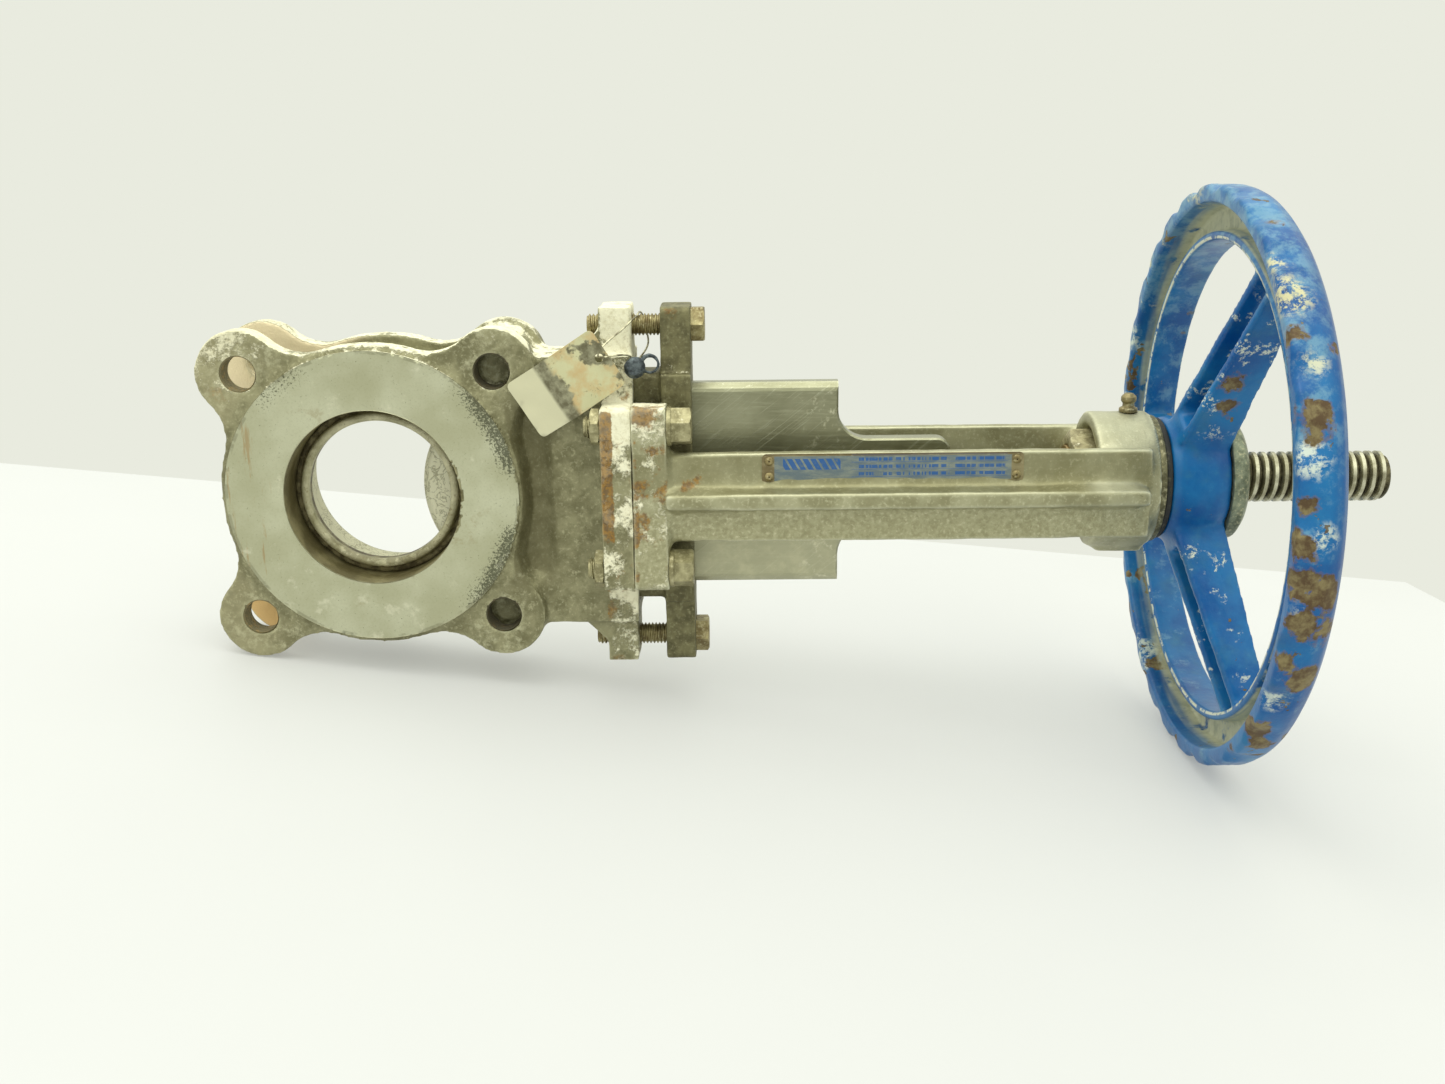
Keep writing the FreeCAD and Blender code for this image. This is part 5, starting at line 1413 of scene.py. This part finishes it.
def nameplate_and_pins():
    bevelled("nameplate", nameplate_material(), 0.12)
    low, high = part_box("nameplate_pins")
    dome = [(-28.2, 0.3), (-28.2, 1.2), (-32.6, 1.2), (-32.6, 2.0), (-33.1, 1.9),
            (-33.6, 1.1), (-33.7, 0.3)]
    pins = [
        turned("pin", dome, 32, 0.2, "Y", (x, 0, z))
        for x in (low.x / MM + 2.0, high.x / MM - 2.0)
        for z in (low.z / MM + 2.0, high.z / MM - 2.0)
    ]
    steel = plated_material("pin_steel", tone(110, 96, 62), tone(158, 144, 100), -0.1, -0.02)
    new_piece("drive_pins", joined("pins", pins), steel, "base", "nameplate_pins",
              slot="plate_metal")


def wire_and_seal():
    repaint(NODES["seal_wire"], wire_material())
    lead = remeshed("lead_seal", 0.3)
    soften(lead, 3, 6)
    roughen(lead, nowhere, 0.5, 0.2)
    new_piece("crimped_seal", lead, lead_material(), "base", "lead_seal", slot="lead_grey",
              sharp=70)


# ---- camera, floor and light ----

CAMERA_PLACE = Vector((0.158886, -0.640009, 0.143087))
CAMERA_RIGHT = Vector((0.9999, 0.0098, -0.0124)).normalized()
CAMERA_DOWN = Vector((-0.0094, -0.2580, -0.9661)).normalized()
CAMERA_AHEAD = CAMERA_RIGHT.cross(CAMERA_DOWN).normalized()
LENS = 36.567
SENSOR = 36.0
FLOOR_OUTLINE = ((-1.0, 0.162), (0.637, 0.379), (0.676, 0.105), (0.819, -0.9), (-1.0, -0.9))
CEILING = 2.2


def add_camera():
    data = bpy.data.cameras.new("camera")
    data.lens = LENS
    data.sensor_width = SENSOR
    data.clip_start = 0.01
    camera = add_object("camera", data)
    up = -CAMERA_DOWN
    rows = [(CAMERA_RIGHT[i], up[i], -CAMERA_AHEAD[i], CAMERA_PLACE[i]) for i in range(3)]
    camera.matrix_world = Matrix((*rows, (0, 0, 0, 1)))
    bpy.context.scene.camera = camera


def resting_plane():
    """Height at x = 0 and slope along x of the plane the lugs and the rim lie on."""
    def lowest(node, slope):
        points = np.array([vert.co[:] for vert in NODES[node].data.vertices])
        return float(np.min(points[:, 2] - slope * points[:, 0]))
    low, high = -0.5, 0.0
    for _ in range(30):
        middle = (low + high) / 2
        if lowest("valve_body", middle) > lowest("handwheel", middle):
            high = middle
        else:
            low = middle
    return lowest("valve_body", low), low


def add_floor():
    """A pale table whose far edge slopes across the view."""
    height, slope = resting_plane()
    corners = [(x, y, height - 0.0004 + slope * x) for x, y in FLOOR_OUTLINE]
    mesh = bpy.data.meshes.new("floor")
    mesh.from_pydata(corners, [], [tuple(range(len(corners)))])
    paint = Paint("pale_floor")
    cloud = paint.noise(240, 3, 0.5)
    colour = paint.mix(cloud.step(0.3, 0.7), tone(161, 162, 163), tone(164, 165, 166))
    paint.shader.inputs["Emission Color"].default_value = tone(246, 248, 240)
    paint.shader.inputs["Emission Strength"].default_value = 0.33
    mesh.materials.append(paint.finish(colour, 0.6, 0.0, paint.noise(3, 2) * 0.02))
    add_object("floor", mesh)


def add_key_light():
    """One wide, soft lamp above and in front."""
    place, target = Vector((0.0, -0.35, 1.4)), Vector((0.2, 0.0, 0.0))
    data = bpy.data.lights.new("key", "AREA")
    data.shape = "DISK"
    data.size = 1.0
    data.energy = 5.0
    data.color = (1.0, 0.985, 0.95)
    light = add_object("key", data)
    light.location = place
    light.rotation_mode = "QUATERNION"
    light.rotation_quaternion = (target - place).to_track_quat("-Z", "Y")


def add_world():
    """A studio whose walls are pale and whose ceiling is brighter."""
    world = bpy.data.worlds.new("studio")
    bpy.context.scene.world = world
    world.use_nodes = True
    nodes, links = world.node_tree.nodes, world.node_tree.links
    place = nodes.new("ShaderNodeTexCoord")
    split = nodes.new("ShaderNodeSeparateXYZ")
    rise = nodes.new("ShaderNodeMapRange")
    rise.interpolation_type = "SMOOTHSTEP"
    rise.inputs["From Min"].default_value = 0.25
    rise.inputs["From Max"].default_value = 0.8
    rise.inputs["To Min"].default_value = 1.0
    rise.inputs["To Max"].default_value = CEILING
    background = nodes["Background"]
    background.inputs["Color"].default_value = tone(233, 235, 223)
    links.new(place.outputs["Generated"], split.inputs[0])
    links.new(split.outputs["Z"], rise.inputs["Value"])
    links.new(rise.outputs["Result"], background.inputs["Strength"])
    bpy.context.scene.view_settings.view_transform = "Standard"


add_camera()
add_world()
add_floor()
add_key_light()
body_casting()
gland_casting()
yoke_casting()
gland_bolts()
pale_zinc = plated_material("zinc_yoke", tone(124, 118, 84), tone(172, 166, 128), 0.02, -0.08)
yoke_bolts(pale_zinc)
fork_bolts(pale_zinc)
lug_threads()
stem_pieces()
turned_bronze = bronze_material()
drive_sleeve(turned_bronze)
drive_nuts()
hub_rings(turned_bronze)
grease_nipple()
handwheel()
seat_and_gate()
nameplate_and_pins()
wire_and_seal()
tag_piece()
